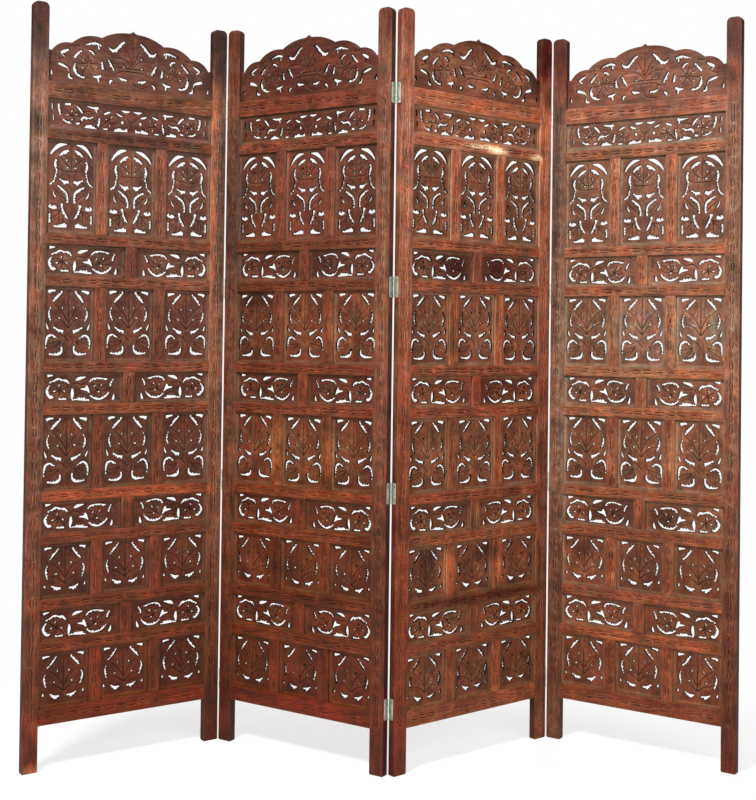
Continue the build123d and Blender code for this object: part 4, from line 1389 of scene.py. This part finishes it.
def screw_tree():
    """A geometry tree that sets a slotted countersunk head on each point, along its aim."""
    tree = bpy.data.node_groups.new("hinge_screws", "GeometryNodeTree")
    face = tree.interface
    face.new_socket("Places", in_out="INPUT", socket_type="NodeSocketGeometry")
    sizes = {"Head diameter": SCREW_HEAD, "Head height": SCREW_HEIGHT, "Slot width": SCREW_SLOT}
    for name, size in sizes.items():
        socket = face.new_socket(name, in_out="INPUT", socket_type="NodeSocketFloat")
        socket.default_value = size * MM
    face.new_socket("Steel", in_out="INPUT", socket_type="NodeSocketMaterial")
    face.new_socket("Seed", in_out="INPUT", socket_type="NodeSocketInt").default_value = 5
    face.new_socket("Screws", in_out="OUTPUT", socket_type="NodeSocketGeometry")
    given = add(tree, "NodeGroupInput").outputs

    # The head is a disc, and the slot a bar that is wider than it and lies in its upper part.
    radius = add(tree, "ShaderNodeMath", {0: given["Head diameter"], 1: 0.5}, operation="MULTIPLY")
    disc = {"Vertices": ROUND, "Radius": radius.outputs[0], "Depth": given["Head height"]}
    head = add(tree, "GeometryNodeMeshCylinder", disc)
    long = add(tree, "ShaderNodeMath", {0: given["Head diameter"], 1: 1.2}, operation="MULTIPLY")
    size = add(tree, "ShaderNodeCombineXYZ",
               {0: long.outputs[0], 1: given["Slot width"], 2: given["Head height"]})
    slot = add(tree, "GeometryNodeMeshCube", {"Size": size.outputs[0]})
    for share in (1.0, -0.35):
        part = add(tree, "ShaderNodeMath", {0: given["Head height"], 1: share}, operation="MULTIPLY")
        up = add(tree, "ShaderNodeCombineXYZ", {2: part.outputs[0]})
        moved = {"Geometry": slot.outputs[0], "Translation": up.outputs[0]}
        slot = add(tree, "GeometryNodeTransform", moved)
    cut = add(tree, "GeometryNodeMeshBoolean", {"Mesh 1": head.outputs[0], "Mesh 2": slot.outputs[0]},
              operation="DIFFERENCE")

    # Each head faces along its aim and is turned by chance, as its screw happened to end.
    aim = add(tree, "GeometryNodeInputNamedAttribute", {"Name": "aim"}, data_type="FLOAT_VECTOR")
    turn = add(tree, "FunctionNodeAlignRotationToVector", {"Vector": aim.outputs[0]}, axis="Z")
    chance = {"Min": 0.0, "Max": 3.0, "Seed": given["Seed"]}
    spin = add(tree, "FunctionNodeRandomValue", chance, data_type="FLOAT")
    angle = add(tree, "ShaderNodeCombineXYZ", {2: spin.outputs[1]})
    euler = add(tree, "FunctionNodeEulerToRotation", {0: angle.outputs[0]})
    both = add(tree, "FunctionNodeRotateRotation", {0: turn.outputs[0], 1: euler.outputs[0]},
               rotation_space="LOCAL")
    set_on = {"Points": given["Places"], "Instance": cut.outputs[0], "Rotation": both.outputs[0]}
    heads = add(tree, "GeometryNodeInstanceOnPoints", set_on)
    real = add(tree, "GeometryNodeRealizeInstances", {0: heads.outputs[0]})
    steel = add(tree, "GeometryNodeSetMaterial", {"Geometry": real.outputs[0], "Material": given["Steel"]})
    add(tree, "NodeGroupOutput", {0: steel.outputs[0]})
    return tree


def set_screws(body, places, aims, tree):
    """The screws of one body as a plain mesh."""
    name = f"{body}_hinge_screws"
    points = bpy.data.meshes.new(f"{name}_places")
    points.from_pydata([tuple(place) for place in places], [], [])
    aim = points.attributes.new("aim", "FLOAT_VECTOR", "POINT")
    aim.data.foreach_set("vector", np.array(aims, np.float32).ravel())
    holder = bpy.data.objects.new(f"{name}_holder", points)
    bpy.context.scene.collection.objects.link(holder)
    modifier = holder.modifiers.new("screws", "NODES")
    modifier.node_group = tree
    sockets = {item.name: item.identifier for item in tree.interface.items_tree if item.in_out == "INPUT"}
    modifier[sockets["Steel"]] = SCREW_STEEL
    modifier[sockets["Head diameter"]] = SCREW_HEAD * MM
    evaluated = holder.evaluated_get(bpy.context.evaluated_depsgraph_get())
    mesh = bpy.data.meshes.new_from_object(evaluated)
    bpy.data.objects.remove(holder)
    carry(bpy.data.objects.new(name, mesh), body, "hinge_steel")


def hinge_places(joint, leaf, over_front):
    """From the millimetres of each hinge of a joint to the frame, turned as one of its leaves."""
    place = leaf_place(leaf)
    heading = math.atan2(place[1][0], place[0][0]) + (0 if over_front else math.pi)
    x, y = joint["pos_m"][:2]
    turned = Matrix.Rotation(heading, 4, "Z") @ Matrix.Scale(MM, 4)
    feet = [rail_middle(rail) + lift - HINGE_LENGTH / 2 for rail, lift in zip(HINGE_RAILS, HINGE_LIFTS)]
    return [Matrix.Translation((x, y, foot * MM)) @ turned for foot in feet]


def build_hinges():
    """The plates, pins and screws of all three joints."""
    screws = {f"leaf_{number}": ([], []) for number in LEAVES}
    pitch, gap = HINGE_LENGTH / 3, KNUCKLE_GAP / 2
    fixed_skins = hinge_skins(-1, ((0.0, pitch - gap), (2 * pitch + gap, HINGE_LENGTH)))
    turning_skins = hinge_skins(1, ((pitch + gap, 2 * pitch - gap),))
    for joint in frame["joints"]:
        joint_name = joint["name"]
        left, right = int(joint_name[-2]), int(joint_name[-1])
        over_front = joint_name != "joint_23"
        fixed, turning = (left, right) if over_front else (right, left)
        for side, leaf, (skins, steels), node, slot in (
            (-1, fixed, fixed_skins, f"{joint_name}_leaf_{fixed}_plates", "hinge_steel"),
            (1, turning, turning_skins, f"{joint_name}_leaf_{turning}_plates", "hinge_steel"),
            (0, fixed, pin_skins(), f"{joint_name}_pins", "pin_steel"),
        ):
            body = f"leaf_{leaf}"
            places, aims = screws[body]
            placed = []
            for matrix in hinge_places(joint, leaf, over_front):
                placed += [in_frame(skin, matrix) for skin in skins]
                for along, up in SCREW_PLACES if side else ():
                    face = side * (JOINT_GAP / 2 - PLATE_THICKNESS + SCREW_SUNK)
                    places.append(matrix @ Vector((face, along, up)))
                    aims.append((matrix.to_3x3() @ Vector((-side, 0, 0))).normalized())
            used = steels * len(HINGE_RAILS)
            piece(f"{node}_finished", placed, [HINGE_STEEL, PIN_STEEL], used, [], STEEL_SHARP,
                  (body, slot, node))
    tree = screw_tree()
    for body, (places, aims) in screws.items():
        set_screws(body, places, aims, tree)


# ---------------------------------------------------------------- camera, floor and light
IMAGE_WIDTH, IMAGE_HEIGHT = 756, 800
FOCAL_PIXELS = 1289.5
OPTICAL_MIDDLE = (411.9, 318.8)      # where the lens's axis meets the image
CAMERA_AT = (0.1148, -3.2188, 1.0369)
CAMERA_YAW, CAMERA_PITCH, CAMERA_ROLL = -1.067, 0.885, -0.708   # degrees
SENSOR_MM = 36.0
FLOOR_HALF = 6.0
SURROUND_LIGHT = 0.28
LAMPS_LOOK_AT = (0, 0, 1.1)
LAMPS = (                            # name, place in metres, side of its square and power in watts
    ("key_lamp", (-1.2, -2.2, 3.7), 0.8, 165.0),
    ("fill_lamp", (2.3, -2.6, 2.4), 2.0, 46.0),
    ("back_lamp", (0.8, 3.2, 2.6), 2.6, 110.0),
)


def build_camera():
    """The camera, with the small shift that its framing needs."""
    data = bpy.data.cameras.new("camera")
    data.sensor_width = SENSOR_MM
    data.lens = FOCAL_PIXELS * data.sensor_width / IMAGE_HEIGHT
    data.shift_x = (IMAGE_WIDTH / 2 - OPTICAL_MIDDLE[0]) / IMAGE_HEIGHT
    data.shift_y = (OPTICAL_MIDDLE[1] - IMAGE_HEIGHT / 2) / IMAGE_HEIGHT
    camera = bpy.data.objects.new("camera", data)
    turn = (Matrix.Rotation(math.radians(-CAMERA_YAW), 4, "Z")
            @ Matrix.Rotation(math.radians(90 + CAMERA_PITCH), 4, "X")
            @ Matrix.Rotation(math.radians(-CAMERA_ROLL), 4, "Z"))
    camera.matrix_world = Matrix.Translation(CAMERA_AT) @ turn
    bpy.context.scene.collection.objects.link(camera)
    bpy.context.scene.camera = camera


def build_floor():
    """A pale floor that takes shadows near the feet and fades to white further off."""
    mesh = bpy.data.meshes.new("floor")
    corners = [(x * FLOOR_HALF, y * FLOOR_HALF, 0) for x, y in ((-1, -1), (1, -1), (1, 1), (-1, 1))]
    mesh.from_pydata(corners, [], [(0, 1, 2, 3)])
    floor = bpy.data.objects.new("floor", mesh)
    bpy.context.scene.collection.objects.link(floor)
    material, tree, shader = new_material("floor_white_paper")
    shader.inputs["Base Color"].default_value = (*WHITE, 1)
    shader.inputs["Roughness"].default_value = 0.9
    shader.inputs["Specular IOR Level"].default_value = 0.0
    place = add(tree, "ShaderNodeTexCoord").outputs["Object"]
    oval = add(tree, "ShaderNodeMapping", {"Vector": place, "Scale": (0.5, 1.0, 1.0)}).outputs[0]
    away = add(tree, "ShaderNodeVectorMath", {0: oval}, operation="LENGTH").outputs["Value"]
    fade = add(tree, "ShaderNodeMapRange", {0: away, 1: 0.40, 2: 0.85, 3: 0.55, 4: 1.0})
    ray = add(tree, "ShaderNodeLightPath").outputs["Is Camera Ray"]
    seen = add(tree, "ShaderNodeMath", {0: ray, 1: fade.outputs[0]}, operation="MULTIPLY")
    white = add(tree, "ShaderNodeEmission", {"Color": (*WHITE, 1), "Strength": 1.0})
    mixed = add(tree, "ShaderNodeMixShader", {0: seen.outputs[0], 1: shader.outputs[0], 2: white.outputs[0]})
    tree.links.new(mixed.outputs[0], tree.nodes["Material Output"].inputs["Surface"])
    mesh.materials.append(material)


def build_light():
    """An even surround, which the camera sees as white, and three soft lamps."""
    world = bpy.data.worlds.new("white_surround")
    bpy.context.scene.world = world
    world.use_nodes = True
    tree = world.node_tree
    tree.nodes.clear()
    ray = add(tree, "ShaderNodeLightPath").outputs["Is Camera Ray"]
    soft = add(tree, "ShaderNodeBackground", {"Color": (*WHITE, 1), "Strength": SURROUND_LIGHT})
    white = add(tree, "ShaderNodeBackground", {"Color": (*WHITE, 1), "Strength": 1.0})
    mixed = add(tree, "ShaderNodeMixShader", {0: ray, 1: soft.outputs[0], 2: white.outputs[0]})
    add(tree, "ShaderNodeOutputWorld", {"Surface": mixed.outputs[0]})
    for name, spot, size, power in LAMPS:
        data = bpy.data.lights.new(name, "AREA")
        data.shape = "SQUARE"
        data.size = size
        data.energy = power
        lamp = bpy.data.objects.new(name, data)
        lamp.location = spot
        aim = Vector(LAMPS_LOOK_AT) - Vector(spot)
        lamp.rotation_euler = aim.to_track_quat("-Z", "Y").to_euler()
        bpy.context.scene.collection.objects.link(lamp)
    bpy.context.scene.view_settings.view_transform = "Standard"


build_camera()
build_leaves()
build_hinges()
build_floor()
build_light()
